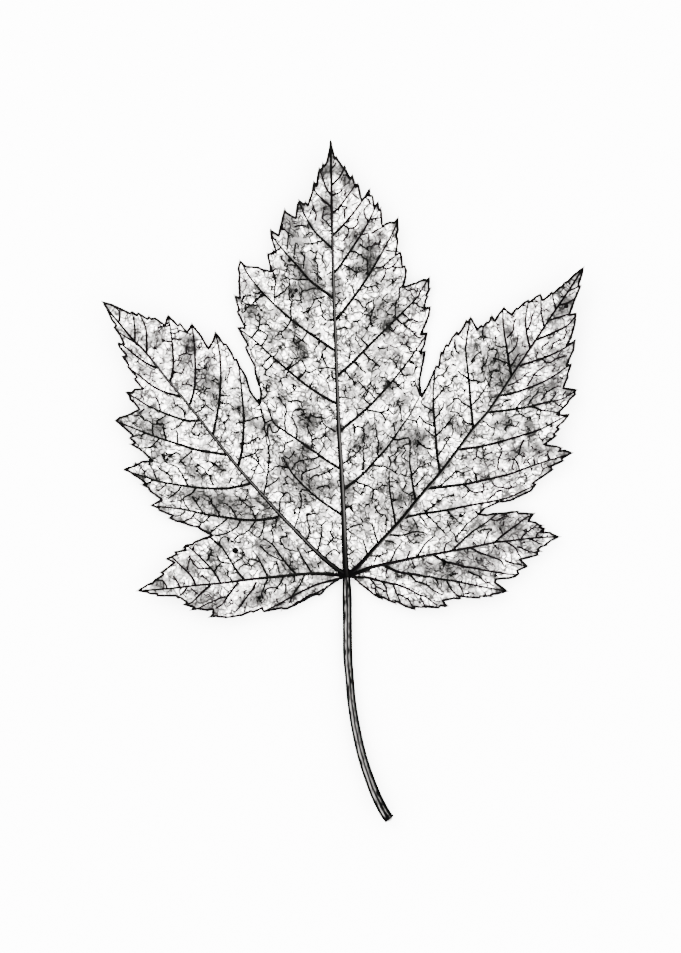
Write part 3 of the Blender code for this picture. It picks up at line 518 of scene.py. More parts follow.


# %% [markdown]
# The wash is laid in soft touches of the brush: painted shadow where a vein throws shade,
# and darker blotches where the wash has dried. Each row is one touch that was judged from
# the drawing: its place, its radius and how dark it is, from 0 to 1. A formula blends
# them, and noise in the material will fray their edges.

# %% Touches of the brush: painted shadow and blotches
CENTRE_SHADE_AND_BLOTCHES = [
    (-17, 417, 5, 0.9), (-19, 404, 5, 0.85), (-24, 401, 5, 0.7), (-7, 404, 4, 0.7),
    (-1, 394, 5, 0.75), (5, 388, 4, 0.6), (-32, 389, 3, 0.6), (-20, 366, 6, 0.75),
    (-20, 356, 5, 0.6), (-14, 374, 4, 0.5), (-47, 367, 4, 0.5), (-61, 358, 5, 0.55),
    (-56, 348, 7, 0.4), (-51, 342, 4, 0.5), (-53, 330, 8, 0.35), (-72, 340, 5, 0.3),
    (-38, 348, 3, 0.5), (-30, 338, 3, 0.55), (-20, 330, 3, 0.65), (15, 345, 4, 0.4),
    (9, 337, 6, 0.6), (4, 327, 4, 0.4), (33, 337, 4, 0.7), (24, 328, 6, 0.8),
    (21, 316, 8, 0.85), (20, 302, 6, 0.85), (11, 307, 4, 0.6), (5, 304, 5, 0.6),
    (47, 350, 3, 0.45), (22, 352, 4, 0.3), (30, 368, 3, 0.3), (-58, 314, 4, 0.8),
    (-45, 308, 10, 0.4), (-45, 297, 9, 0.45), (-32, 290, 6, 0.6), (-55, 283, 5, 0.7),
    (-40, 280, 9, 0.4), (-68, 297, 6, 0.35), (-12, 277, 5, 0.7), (-14, 295, 4, 0.45),
    (-8, 288, 5, 0.3), (-97, 263, 5, 0.65), (-110, 276, 3, 0.4), (-90, 287, 4, 0.3),
    (-84, 259, 6, 0.35), (-70, 263, 5, 0.25), (-52, 250, 4, 0.45), (-62, 242, 5, 0.35),
    (-74, 238, 5, 0.45), (-50, 231, 6, 0.75), (-45, 220, 5, 0.7), (-25, 229, 3, 0.5),
    (-46, 194, 4, 0.5), (-70, 214, 3, 0.5), (-70, 190, 14, 0.12), (-65, 176, 6, 0.25),
    (25, 258, 5, 0.65), (33, 267, 6, 0.55), (40, 250, 7, 0.75), (50, 264, 8, 0.4),
    (18, 243, 4, 0.25), (30, 289, 5, 0.3), (55, 238, 6, 0.3), (48, 220, 5, 0.4),
    (62, 287, 5, 0.25), (78, 290, 4, 0.3), (38, 220, 4, 0.35), (24, 208, 5, 0.35),
    (10, 195, 6, 0.3), (0, 184, 5, 0.4), (41, 188, 4, 0.6), (60, 203, 4, 0.35),
    (55, 171, 7, 0.4), (-39, 153, 9, 0.75), (-48, 163, 4, 0.35), (-80, 150, 7, 0.6),
    (-93, 150, 6, 0.3), (23, 148, 5, 0.5), (17, 138, 5, 0.5), (11, 129, 5, 0.45),
    (33, 127, 4, 0.8), (67, 136, 8, 0.65), (76, 134, 8, 0.3), (50, 132, 9, 0.3),
    (75, 111, 4, 0.4), (50, 148, 8, 0.2), (-10, 145, 4, 0.7), (-40, 125, 4, 0.75),
    (-56, 116, 9, 0.45), (-42, 116, 9, 0.4), (-66, 110, 6, 0.35), (-50, 104, 10, 0.4),
    (-60, 90, 12, 0.25), (-48, 94, 5, 0.5), (-36, 92, 8, 0.45), (-42, 77, 6, 0.45),
    (-30, 84, 7, 0.35), (-17, 90, 4, 0.5), (-16, 79, 4, 0.5), (1, 88, 6, 0.6),
    (1, 76, 5, 0.6), (25, 78, 4, 0.45), (22, 65, 5, 0.45), (40, 90, 5, 0.25),
    (15, 50, 8, 0.2), (40, 60, 8, 0.2), (100, 110, 4, 0.5), (92, 103, 5, 0.55),
    (82, 89, 4, 0.6), (52, 75, 6, 0.7), (65, 76, 5, 0.6), (50, 110, 26, 0.14),
]
LEFT_SHADE_AND_BLOTCHES = [
    (-238, 268, 4, 0.4), (-158, 233, 6, 0.7), (-157, 222, 5, 0.65), (-161, 212, 6, 0.4),
    (-210, 238, 6, 0.3), (-190, 232, 8, 0.25), (-220, 218, 5, 0.35), (-205, 205, 4, 0.25),
    (-139, 216, 4, 0.5), (-136, 207, 4, 0.4), (-142, 193, 8, 0.65), (-130, 190, 5, 0.55),
    (-132, 176, 6, 0.45), (-90, 175, 4, 0.6), (-109, 166, 6, 0.4), (-102, 161, 5, 0.45),
    (-187, 149, 6, 0.8), (-195, 143, 6, 0.5), (-200, 150, 10, 0.25), (-190, 130, 7, 0.3),
    (-228, 153, 4, 0.6), (-189, 119, 5, 0.4), (-181, 115, 4, 0.4), (-165, 113, 4, 0.65),
    (-155, 104, 5, 0.5), (-147, 97, 5, 0.4), (-125, 105, 7, 0.3), (-208, 98, 4, 0.35),
    (-190, 77, 4, 0.4), (-184, 66, 5, 0.4), (-173, 57, 4, 0.4), (-152, 78, 8, 0.6),
    (-140, 75, 6, 0.6), (-175, 79, 5, 0.3), (-128, 74, 7, 0.8), (-117, 71, 6, 0.7),
    (-104, 68, 9, 0.4), (-88, 75, 5, 0.6), (-80, 67, 5, 0.6), (-100, 92, 3, 0.5),
    (-130, 62, 7, 0.3), (-105, 58, 13, 0.25), (-139, 43, 5, 0.65), (-122, 39, 4, 0.4),
    (-111, 51, 5, 0.4), (-82, 54, 5, 0.5), (-95, 53, 6, 0.3), (-70, 50, 6, 0.35),
    (-124, 135, 4, 0.25), (-62, 31, 5, 0.4), (-84, 29, 8, 0.4), (-75, 25, 7, 0.45),
    (-86, 15, 5, 0.45),
]
RIGHT_SHADE_AND_BLOTCHES = [
    (220, 270, 6, 0.85), (213, 263, 6, 0.75), (204, 257, 8, 0.3), (232, 303, 3, 0.6),
    (225, 254, 4, 0.45), (225, 232, 4, 0.5), (160, 243, 4, 0.8), (164, 231, 5, 0.5),
    (170, 221, 6, 0.65), (168, 210, 7, 0.65), (162, 199, 6, 0.75), (155, 188, 5, 0.8),
    (146, 175, 5, 0.5), (150, 214, 13, 0.4), (137, 206, 5, 0.5), (150, 198, 8, 0.4),
    (126, 226, 6, 0.35), (135, 243, 6, 0.3), (190, 237, 3, 0.3), (205, 236, 5, 0.25),
    (210, 214, 12, 0.35), (220, 212, 4, 0.4), (205, 190, 6, 0.5), (192, 186, 7, 0.4),
    (185, 171, 7, 0.4), (222, 183, 5, 0.45), (200, 178, 10, 0.25), (181, 148, 5, 0.6),
    (183, 140, 4, 0.5), (158, 152, 6, 0.65), (148, 149, 4, 0.35), (172, 124, 5, 0.6),
    (190, 125, 8, 0.4), (203, 127, 5, 0.4), (216, 121, 5, 0.6), (141, 113, 8, 0.4),
    (150, 133, 4, 0.3), (118, 110, 8, 0.2), (162, 118, 6, 0.3), (203, 107, 6, 0.4),
    (137, 95, 5, 0.35), (122, 88, 4, 0.25), (165, 95, 7, 0.2), (174, 82, 4, 0.5),
    (104, 66, 4, 0.35), (115, 68, 4, 0.35), (123, 142, 6, 0.35), (111, 146, 6, 0.4),
    (103, 156, 4, 0.4), (101, 168, 3, 0.35), (84, 161, 5, 0.3), (58, 60, 4, 0.7),
    (50, 51, 3, 0.6), (65, 46, 7, 0.6), (70, 37, 5, 0.45), (88, 44, 5, 0.35),
    (105, 51, 6, 0.35), (223, 296, 8, 0.4), (213, 285, 8, 0.3),
]
LOWER_SHADE_AND_BLOTCHES = [
    (-188, -9, 7, 0.55), (-175, -2, 4, 0.3), (-159, 8, 7, 0.5), (-128, 28, 5, 0.55),
    (-134, 19, 5, 0.6), (-132, 7, 4, 0.45), (-125, 2, 4, 0.4), (-108, -2, 5, 0.2),
    (-103, 13, 5, 0.2), (-58, 8, 9, 0.5), (-54, 4, 5, 0.45), (-35, 8, 6, 0.35),
    (-26, 12, 4, 0.45), (-30, -3, 5, 0.4), (-17, -2, 5, 0.6), (-89, -24, 5, 0.85),
    (-86, -18, 4, 0.8), (-102, -27, 5, 0.35), (-57, -21, 5, 0.65), (-51, -17, 4, 0.55),
    (-32, -18, 5, 0.45), (-136, -34, 6, 0.5), (-129, -26, 5, 0.5), (-68, -32, 5, 0.4),
    (-155, -31, 6, 0.3), (-148, -24, 9, 0.2), (-80, -4, 5, 0.35), (-66, -4, 6, 0.35),
    (62, 3, 7, 0.45), (40, 9, 5, 0.3), (78, 10, 5, 0.5), (88, 7, 5, 0.5),
    (100, 6, 7, 0.55), (99, -4, 9, 0.4), (114, 10, 8, 0.4), (126, 7, 8, 0.3),
    (114, 22, 5, 0.5), (132, 18, 5, 0.6), (125, 26, 6, 0.3), (147, 21, 6, 0.4),
    (140, 10, 9, 0.2), (80, -12, 9, 0.2), (122, -12, 4, 0.5), (127, -21, 4, 0.5),
    (150, -7, 4, 0.4), (153, -15, 5, 0.5), (173, 13, 4, 0.4), (154, 49, 9, 0.65),
    (170, 47, 7, 0.5), (158, 58, 6, 0.45), (145, 57, 5, 0.4), (160, 35, 8, 0.3),
    (172, 38, 6, 0.3), (130, 49, 6, 0.6), (122, 42, 4, 0.35), (182, 58, 4, 0.4),
    (190, 45, 8, 0.2), (188, 30, 8, 0.22), (205, 38, 4, 0.3), (65, -31, 4, 0.35),
    (96, -28, 4, 0.35), (28, -13, 6, 0.2), (12, 5, 5, 0.6),
]
SHADE_AND_BLOTCHES = np.array(CENTRE_SHADE_AND_BLOTCHES + LEFT_SHADE_AND_BLOTCHES + RIGHT_SHADE_AND_BLOTCHES + LOWER_SHADE_AND_BLOTCHES)
SHADE_AND_BLOTCH_EDGE = 0.75
SHADE_AND_BLOTCH_POWER = 2.4


def shade_and_blotch_darkness(points):
    """How dark the wash is at each point, from 0 to 1: painted shadow and blotches."""
    bare = np.ones(len(points))
    for x, y, radius, strength in SHADE_AND_BLOTCHES:
        gap = np.hypot(points[:, 0] - x, points[:, 1] - y) / radius
        bare *= 1 - strength * np.exp(-SHADE_AND_BLOTCH_EDGE * gap**SHADE_AND_BLOTCH_POWER)
    return 1 - bare


print("touches of the brush", len(SHADE_AND_BLOTCHES))

# %% [markdown]
# The blade is a thin sheet. A constrained triangulation cuts it out exactly along the
# margin and fills it with an even lattice of points, fine enough for soft shading. The
# upper face is the lower one raised by the thickness and by low swells along the ribs,
# split in the same way, so the two can never cross. The strength of the wash, its painted
# shadow and blotches, is kept on each point as an attribute, for the material to read.

# %% Points of the blade
LATTICE_STEP = 2.6
LATTICE_ROW = 0.866
MARGIN_CLEAR = 1.3
WELD = 0.2
SWELL_WIDTH = 9.0
SWELL_HEIGHT = 0.0005
SIDE_SWELL_WIDTH = 4.4
SIDE_SWELL_HEIGHT = 0.0002
SWELL_FADE = 0.6


def lattice():
    """Points of an even lattice of triangles, well inside the margin."""
    low, high = MARGIN.min(axis=0), MARGIN.max(axis=0)
    rows = []
    for i, y in enumerate(np.arange(low[1], high[1], LATTICE_STEP * LATTICE_ROW)):
        x = np.arange(low[0], high[0], LATTICE_STEP) + LATTICE_STEP / 2 * (i % 2)
        rows.append(np.column_stack([x, np.full_like(x, y)]))
    points = np.vstack(rows)
    points = points[inside_margin(points)]
    return points[gap_to_margin(points) > MARGIN_CLEAR]


def swell(points):
    """How far the upper face swells up to the ribs, in metres."""
    lift = np.zeros(len(points))
    kinds = [(line, SWELL_WIDTH, SWELL_HEIGHT) for line in MAIN_LINES]
    kinds += [(line, SIDE_SWELL_WIDTH, SIDE_SWELL_HEIGHT) for line in SIDE_LINES]
    for line, width, height in kinds:
        near = np.all(points > line.min(axis=0) - width, axis=1)
        near &= np.all(points < line.max(axis=0) + width, axis=1)
        gap, share = gap_to_line(points[near], line[::2])
        half = width / 2 * (1 - SWELL_FADE * share)
        here = height * (1 - SWELL_FADE * share) * np.maximum(0, 1 - (gap / half) ** 2)
        lift[near] = np.maximum(lift[near], here)
    return lift


# %% Cut out the blade
def cut_sheet():
    """The sheet's points and triangles, in the drawing's units."""
    points = [Vector(row) for row in np.vstack([MARGIN, lattice()])]
    count = len(MARGIN)
    edges = [(i, (i + 1) % count) for i in range(count)]
    flat, _, faces, *_ = delaunay_2d_cdt(points, edges, [], 0, WELD, False)
    flat = np.array([tuple(point) for point in flat])
    faces = np.array(faces)
    middles = flat[faces].mean(axis=1)
    return flat, faces[inside_margin(middles)]


def make_blade():
    """The blade as one closed piece, its two faces split alike."""
    flat, faces = cut_sheet()
    x, y = placed(flat).T
    lower = cup_height(x, y)
    upper = lower + BLADE_THICKNESS + swell(flat)
    shape = bmesh.new()
    layer = shape.verts.layers.int.new("place")
    shade_and_blotch_layer = shape.verts.layers.float.new("wash")
    verts = []
    for i, row in enumerate(zip(x, y, lower, shade_and_blotch_darkness(flat))):
        vertex = shape.verts.new(row[:3])
        vertex[layer] = i
        vertex[shade_and_blotch_layer] = row[3]
        verts.append(vertex)
    for face in faces:
        shape.faces.new([verts[i] for i in face[::-1]])
    grown = bmesh.ops.extrude_face_region(shape, geom=list(shape.faces), use_keep_orig=True)
    for part in grown["geom"]:
        if isinstance(part, bmesh.types.BMVert):
            part.co.z = upper[part[layer]]
    loose = [vertex for vertex in shape.verts if not vertex.link_faces]
    bmesh.ops.delete(shape, geom=loose, context="VERTS")
    bmesh.ops.recalc_face_normals(shape, faces=list(shape.faces))
    return finished("leaf_blade", shape)


# %% [markdown]
# Every piece is finished alike: its mesh becomes an object, and the object gets its
# material, rides on the leaf's one body and stands in for the plain solid.

# %% Turn a bmesh into a piece
def finished(name, shape):
    """A smooth-shaded object from a bmesh."""
    mesh = bpy.data.meshes.new(name)
    shape.to_mesh(mesh)
    shape.free()
    mesh.shade_smooth()
    piece = bpy.data.objects.new(name, mesh)
    bpy.context.scene.collection.objects.link(piece)
    return piece


def settle(piece, material):
    """Give a piece its finish, its body and its slot, and let it stand for the leaf."""
    piece.data.materials.clear()
    piece.data.materials.append(material)
    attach(piece, "root")
    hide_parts(LEAF)
    print(piece.name, len(piece.data.polygons), "faces")


# %% [markdown]
# Ink has no gloss to speak of and its black is never quite even, so each ink mixes two
# greys by a noise. The wash on the blade is a pale grey that darkens in steps where the
# brush has laid painted shadow and blotches. Its small fields differ a little by chance,
# and thin lines run along the walls between them.

# %% Ink and wash
WARM_GREEN = 0.965
WARM_BLUE = 0.94
INK_GRAIN = 420


def noise_node(tree, scale, detail, roughness):
    """A noise texture in the piece's own metres."""
    place = tree.nodes.new("ShaderNodeTexCoord")
    noise = tree.nodes.new("ShaderNodeTexNoise")
    noise.inputs["Scale"].default_value = scale
    noise.inputs["Detail"].default_value = detail
    noise.inputs["Roughness"].default_value = roughness
    tree.links.new(place.outputs["Object"], noise.inputs["Vector"])
    return noise


def ramp_node(tree, value, stops):
    """A colour ramp from (position, grey) stops."""
    ramp = tree.nodes.new("ShaderNodeValToRGB")
    bands = ramp.color_ramp.elements
    while len(bands) < len(stops):
        bands.new(0.5)
    for band, (position, grey) in zip(bands, stops):
        band.position = position
        band.color = (grey, grey * WARM_GREEN, grey * WARM_BLUE, 1)
    tree.links.new(value, ramp.inputs["Fac"])
    return ramp


def bump_node(tree, height, strength, distance):
    bump = tree.nodes.new("ShaderNodeBump")
    bump.inputs["Strength"].default_value = strength
    bump.inputs["Distance"].default_value = distance
    tree.links.new(height, bump.inputs["Height"])
    return bump


def new_finish(name, roughness):
    material = bpy.data.materials.new(name)
    material.use_nodes = True
    tree = material.node_tree
    shader = tree.nodes["Principled BSDF"]
    shader.inputs["Roughness"].default_value = roughness
    shader.inputs["Specular IOR Level"].default_value = 0.0
    return material, tree, shader


def ink(name, dark, light):
    """Pen ink between two greys, with the slight relief of a dried line."""
    material, tree, shader = new_finish(name, roughness=0.62)
    noise = noise_node(tree, INK_GRAIN, detail=4, roughness=0.6)
    ramp = ramp_node(tree, noise.outputs["Fac"], [(0.35, dark), (0.7, light)])
    bump = bump_node(tree, noise.outputs["Fac"], strength=0.3, distance=0.0001)
    tree.links.new(ramp.outputs["Color"], shader.inputs["Base Color"])
    tree.links.new(bump.outputs["Normal"], shader.inputs["Normal"])
    return material


def math_node(tree, operation, *values):
    """A math node on numbers and links, in the order of its sockets."""
    node = tree.nodes.new("ShaderNodeMath")
    node.operation = operation
    for socket, value in zip(node.inputs, values):
        if isinstance(value, (int, float)):
            socket.default_value = value
        else:
            tree.links.new(value, socket)
    return node.outputs[0]


def covered(tree, colour, over, share):
    """One colour laid over another one, by a share from 0 to 1."""
    blend = tree.nodes.new("ShaderNodeMix")
    blend.data_type = "RGBA"
    blend.inputs["B"].default_value = over
    tree.links.new(share, blend.inputs["Factor"])
    tree.links.new(colour, blend.inputs["A"])
    return blend.outputs["Result"]


# %% The wash
WASH_STOPS = [
    (0.12, 0.9), (0.16, 0.42), (0.2, 0.26), (0.36, 0.175), (0.41, 0.1), (0.6, 0.07),
    (0.65, 0.042), (0.84, 0.022), (1.0, 0.006),
]
WASH_BASE = -0.25
CLOUD_SCALE = 250
CLOUD_SHARE = 0.15
FIELD_SHARE = 0.28
GRAIN_SCALE = 900
GRAIN_SHARE = 0.3
SHADE_AND_BLOTCH_SHARE = 0.9
FINE_VEIN = (0.004, 0.004, 0.0038, 1)
CELL_FRAY = 1.3
FADE_GAIN = 3.5
FADE_START = -0.9
COARSE_CELLS = {"scale": 340, "width": 0.125, "strength": 0.97, "fade": 300}
FINE_CELLS = {"scale": 600, "width": 0.16, "strength": 0.8, "fade": 390}


def clamped(tree, value, gain, start):
    """A value times a gain, from a start, kept between 0 and 1."""
    value = math_node(tree, "MULTIPLY_ADD", value, gain, start)
    return math_node(tree, "MINIMUM", math_node(tree, "MAXIMUM", value, 0.0), 1.0)


def voronoi_cells(tree, scale, feature):
    """Small cells with walls that wander, by their edges or by a chance colour for each."""
    place = tree.nodes.new("ShaderNodeTexCoord")
    wander = noise_node(tree, scale * 0.9, detail=3, roughness=0.6)
    shift = tree.nodes.new("ShaderNodeVectorMath")
    shift.operation = "MULTIPLY_ADD"
    shift.inputs[1].default_value = (CELL_FRAY / scale,) * 3
    tree.links.new(wander.outputs["Color"], shift.inputs[0])
    tree.links.new(place.outputs["Object"], shift.inputs[2])
    cells = tree.nodes.new("ShaderNodeTexVoronoi")
    cells.feature = feature
    cells.inputs["Scale"].default_value = scale
    tree.links.new(shift.outputs[0], cells.inputs["Vector"])
    return cells


def drawn_walls(tree, scale, width, strength, fade):
    """Thin wandering lines along the walls of cells, which fade in and out."""
    walls = voronoi_cells(tree, scale, "DISTANCE_TO_EDGE").outputs["Distance"]
    line = clamped(tree, walls, -2 / width, 2.0)
    noise = noise_node(tree, fade, detail=2, roughness=0.5)
    faded = clamped(tree, noise.outputs["Fac"], FADE_GAIN, FADE_START)
    return math_node(tree, "MULTIPLY", math_node(tree, "MULTIPLY", line, faded), strength)


def wash():
    """The blade: touches of grey wash, painted shadow and blotches, with frayed edges, and the
    finest cells of the net.
    """
    material, tree, shader = new_finish("wash", roughness=0.7)
    # The attribute holds the painted shadow beside the veins and the dried blotches.
    touches = tree.nodes.new("ShaderNodeAttribute")
    touches.attribute_name = "wash"
    clouds = noise_node(tree, CLOUD_SCALE, detail=4, roughness=0.6)
    grain = noise_node(tree, GRAIN_SCALE, detail=3, roughness=0.6)
    fields = voronoi_cells(tree, COARSE_CELLS["scale"], "F1")
    dark = math_node(tree, "MULTIPLY_ADD", clouds.outputs["Fac"], CLOUD_SHARE, WASH_BASE)
    dark = math_node(tree, "MULTIPLY_ADD", fields.outputs["Color"], FIELD_SHARE, dark)
    dark = math_node(tree, "MULTIPLY_ADD", grain.outputs["Fac"], GRAIN_SHARE, dark)
    dark = math_node(tree, "MULTIPLY_ADD", touches.outputs["Fac"], SHADE_AND_BLOTCH_SHARE, dark)
    ramp = ramp_node(tree, dark, WASH_STOPS)
    walls = [drawn_walls(tree, **cells) for cells in (COARSE_CELLS, FINE_CELLS)]
    veined = math_node(tree, "MAXIMUM", *walls)
    colour = covered(tree, ramp.outputs["Color"], FINE_VEIN, veined)
    bump = bump_node(tree, grain.outputs["Fac"], strength=0.3, distance=0.0002)
    tree.links.new(colour, shader.inputs["Base Color"])
    tree.links.new(bump.outputs["Normal"], shader.inputs["Normal"])
    return material


# %% The blade
blade = make_blade()
settle(blade, wash())

# %% [markdown]
# Ribs, net and edge are all tubes of changing width that lie half sunk in the blade. A
# curve object with a small profile makes such a tube, and keeps the way around it as
# a UV map. Each curve is then made a mesh, so that nothing depends on the profile.

# %% Tubes that lie on the blade
def top_of(points):
    """Rows of x, y and z on the upper face, for points in the drawing's units."""
    x, y = placed(points).T
    return np.column_stack([x, y, cup_height(x, y) + BLADE_THICKNESS + swell(points)])


def profile_curve(corners):
    """A closed section for tubes, from (x, y) corners in half widths."""
    data = bpy.data.curves.new("section", "CURVE")
    data.dimensions = "2D"
    spline = data.splines.new("POLY")
    spline.points.add(len(corners) - 1)
    spline.use_cyclic_u = True
    for point, (x, y) in zip(spline.points, corners):
        point.co = (x, y, 0, 1)
    section = bpy.data.objects.new("section", data)
    bpy.context.scene.collection.objects.link(section)
    return section


def add_spline(data, rows, radii, cyclic=False):
    spline = data.splines.new("POLY")
    spline.points.add(len(rows) - 1)
    spline.use_cyclic_u = cyclic
    for point, row, radius in zip(spline.points, rows, radii):
        point.co = (*row, 1)
        point.radius = radius


def tubes(name, lines, section):
    """A mesh of tubes along (rows, radii) lines, with the corners of one section."""
    data = bpy.data.curves.new(name, "CURVE")
    data.dimensions = "3D"
    data.twist_mode = "Z_UP"
    data.use_fill_caps = True
    profile = profile_curve(section)
    data.bevel_mode = "OBJECT"
    data.bevel_object = profile
    for rows, radii, cyclic in lines:
        add_spline(data, rows, radii, cyclic)
    path = bpy.data.objects.new(name, data)
    bpy.context.scene.collection.objects.link(path)
    graph = bpy.context.evaluated_depsgraph_get()
    mesh = bpy.data.meshes.new_from_object(path.evaluated_get(graph))
    bpy.data.objects.remove(path)
    bpy.data.objects.remove(profile)
    shape = bmesh.new()
    shape.from_mesh(mesh)
    bmesh.ops.remove_doubles(shape, verts=list(shape.verts), dist=1e-6)
    bmesh.ops.recalc_face_normals(shape, faces=list(shape.faces))
    bpy.data.meshes.remove(mesh)
    return finished(name, shape)


def arched_section(sides, height, depth):
    """Half an ellipse over a sunk base, from one foot over the top to the other."""
    turns = [math.pi * i / sides for i in range(sides + 1)]
    arch = [(-math.cos(turn), height * math.sin(turn)) for turn in turns]
    return [(-0.9, -depth)] + arch + [(0.9, -depth)]


# %% [markdown]
# The main ribs are drawn with a dark line on each side of a grey core, heavier on the
# left where the shade is. The dark lines are painted shade on the flanks of the round
# rib, and the paler core is a painted highlight along its top. The arch of the section
# goes around in the UV map, so a colour ramp over it lays that line, core and line along
# the whole rib.

# %% The main ribs
RIB_ARCH = arched_section(10, 0.8, 0.3)
RIB_TRIM = 2
BLACK_INK = (0.0004, 0.0004, 0.0004, 1)
ROOT_INK = [(0.0, 1.0), (0.07, 0.85), (0.13, 0.1), (0.7, 0.0), (0.85, 1.0)]
# Across each rib: dark painted shade on both flanks, and a paler core that is a painted
# highlight.
MIDRIB_SHADE = [
    (0.1, 0.0003), (0.42, 0.0006), (0.48, 0.014), (0.58, 0.02), (0.64, 0.0006), (0.9, 0.0003)
]
LEFT_SHADE = [
    (0.1, 0.0003), (0.4, 0.0006), (0.45, 0.012), (0.52, 0.018), (0.57, 0.0006), (0.9, 0.0003)
]
RIGHT_SHADE = [
    (0.1, 0.0003), (0.56, 0.0006), (0.62, 0.02), (0.7, 0.035), (0.76, 0.001), (0.9, 0.0003)
]
SOLID_SHADE = [(0.1, 0.0003), (0.5, 0.0008), (0.62, 0.003), (0.72, 0.001), (0.9, 0.0003)]
RIB_PENS = [
    {"name": "midrib", "root": 7.6, "tip": 2.2, "power": 0.5},
    {"name": "left_rib", "root": 5.5, "tip": 2.0, "power": 0.6},
    {"name": "right_rib", "root": 5.2, "tip": 2.0, "power": 0.6},
    {"name": "lower_left_rib", "root": 4.4, "tip": 1.7, "power": 0.6},
    {"name": "lower_right_rib", "root": 4.7, "tip": 1.7, "power": 0.6},
]


def uv_parts(tree):
    """The way along a tube and the way around it, each from 0 to 1."""
    place = tree.nodes.new("ShaderNodeUVMap")
    place.uv_map = "UVMap"
    parts = tree.nodes.new("ShaderNodeSeparateXYZ")
    tree.links.new(place.outputs["UV"], parts.inputs["Vector"])
    return place.outputs["UV"], parts.outputs["X"], parts.outputs["Y"]


def rib_ink_and_painted_shade(name, stops):
    """Ink and wash across a rib, painted shade on both flanks and a paler painted highlight in
    the core, from its left foot to its right one, black at both ends.
    """
    material, tree, shader = new_finish(name, roughness=0.6)
    _, along, around = uv_parts(tree)
    ramp = ramp_node(tree, around, stops)
    ends = ramp_node(tree, along, ROOT_INK)
    noise = noise_node(tree, 500, detail=4, roughness=0.6)
    bump = bump_node(tree, noise.outputs["Fac"], strength=0.35, distance=0.0001)
    colour = covered(tree, ramp.outputs["Color"], BLACK_INK, ends.outputs["Color"])
    tree.links.new(colour, shader.inputs["Base Color"])
    tree.links.new(bump.outputs["Normal"], shader.inputs["Normal"])
    return material


def widths(count, root, tip, power=1.0):
    """Half widths in metres, from full widths in drawing units at root and tip."""
    share = np.linspace(0, 1, count) ** power
    return (root + (tip - root) * share) * UNIT / 2


def rib_tube(line, finish, name, root, tip, power):
    """One main rib, which stops just short of the tooth's point."""
    inner = line[:-RIB_TRIM]
    radii = widths(len(inner), root, tip, power)
    settle(tubes(name, [(top_of(inner), radii, False)], RIB_ARCH), finish)


lower_rib_ink_with_painted_shade = rib_ink_and_painted_shade("lower rib ink and painted shade", SOLID_SHADE)
rib_inks_with_painted_shade = [
    rib_ink_and_painted_shade("midrib ink and painted shade", MIDRIB_SHADE), rib_ink_and_painted_shade("left rib ink and painted shade", LEFT_SHADE),
    rib_ink_and_painted_shade("right rib ink and painted shade", RIGHT_SHADE), lower_rib_ink_with_painted_shade, lower_rib_ink_with_painted_shade,
]
for line, finish, pen in zip(MAIN_LINES, rib_inks_with_painted_shade, RIB_PENS):
    rib_tube(line, finish, **pen)

# %% [markdown]
# Side ribs are one pen stroke each: firm at the root and thin at the tip, and firmer the
# longer they are. They all go into one piece, with a simpler section.

# %% The side ribs
SIDE_ARCH = arched_section(5, 0.75, 0.4)
SIDE_ROOT = 2.0
SIDE_LONG_ROOT = 3.2
SIDE_LONG = 110
SIDE_TIP = 1.5


def tapered(lines, roots, tips):
    """Rows and half widths for strokes on the blade, from their widths at both ends."""
    ends = np.cumsum([len(line) for line in lines])[:-1]
    rows = np.split(top_of(np.vstack(lines)), ends)
    return [
        (row, widths(len(row), root, tip), False)
        for row, root, tip in zip(rows, roots, tips)
    ]


def strokes(name, lines, root, tip, finish):
    """Pen strokes of one width that taper from their roots, as one piece."""
    rows = tapered(lines, [root] * len(lines), [tip] * len(lines))
    settle(tubes(name, rows, SIDE_ARCH), finish)


def side_root(line):
    """The width of a side rib at its root, which grows with its length."""
    share = min(1, len(line) * RIB_STEP / SIDE_LONG)
    return SIDE_ROOT + (SIDE_LONG_ROOT - SIDE_ROOT) * share


dark_ink = ink("dark ink", dark=0.0002, light=0.0014)
trimmed = [line[:-1] for line in SIDE_LINES]
side_rows = tapered(trimmed, [side_root(line) for line in trimmed], [SIDE_TIP] * len(trimmed))
settle(tubes("side_ribs", side_rows, SIDE_ARCH), dark_ink)

# %% [markdown]
# Between the ribs lies a net of fine veins. The strongest of its strokes give each field
# of the drawing its own face, so they are read one by one, a few points each.

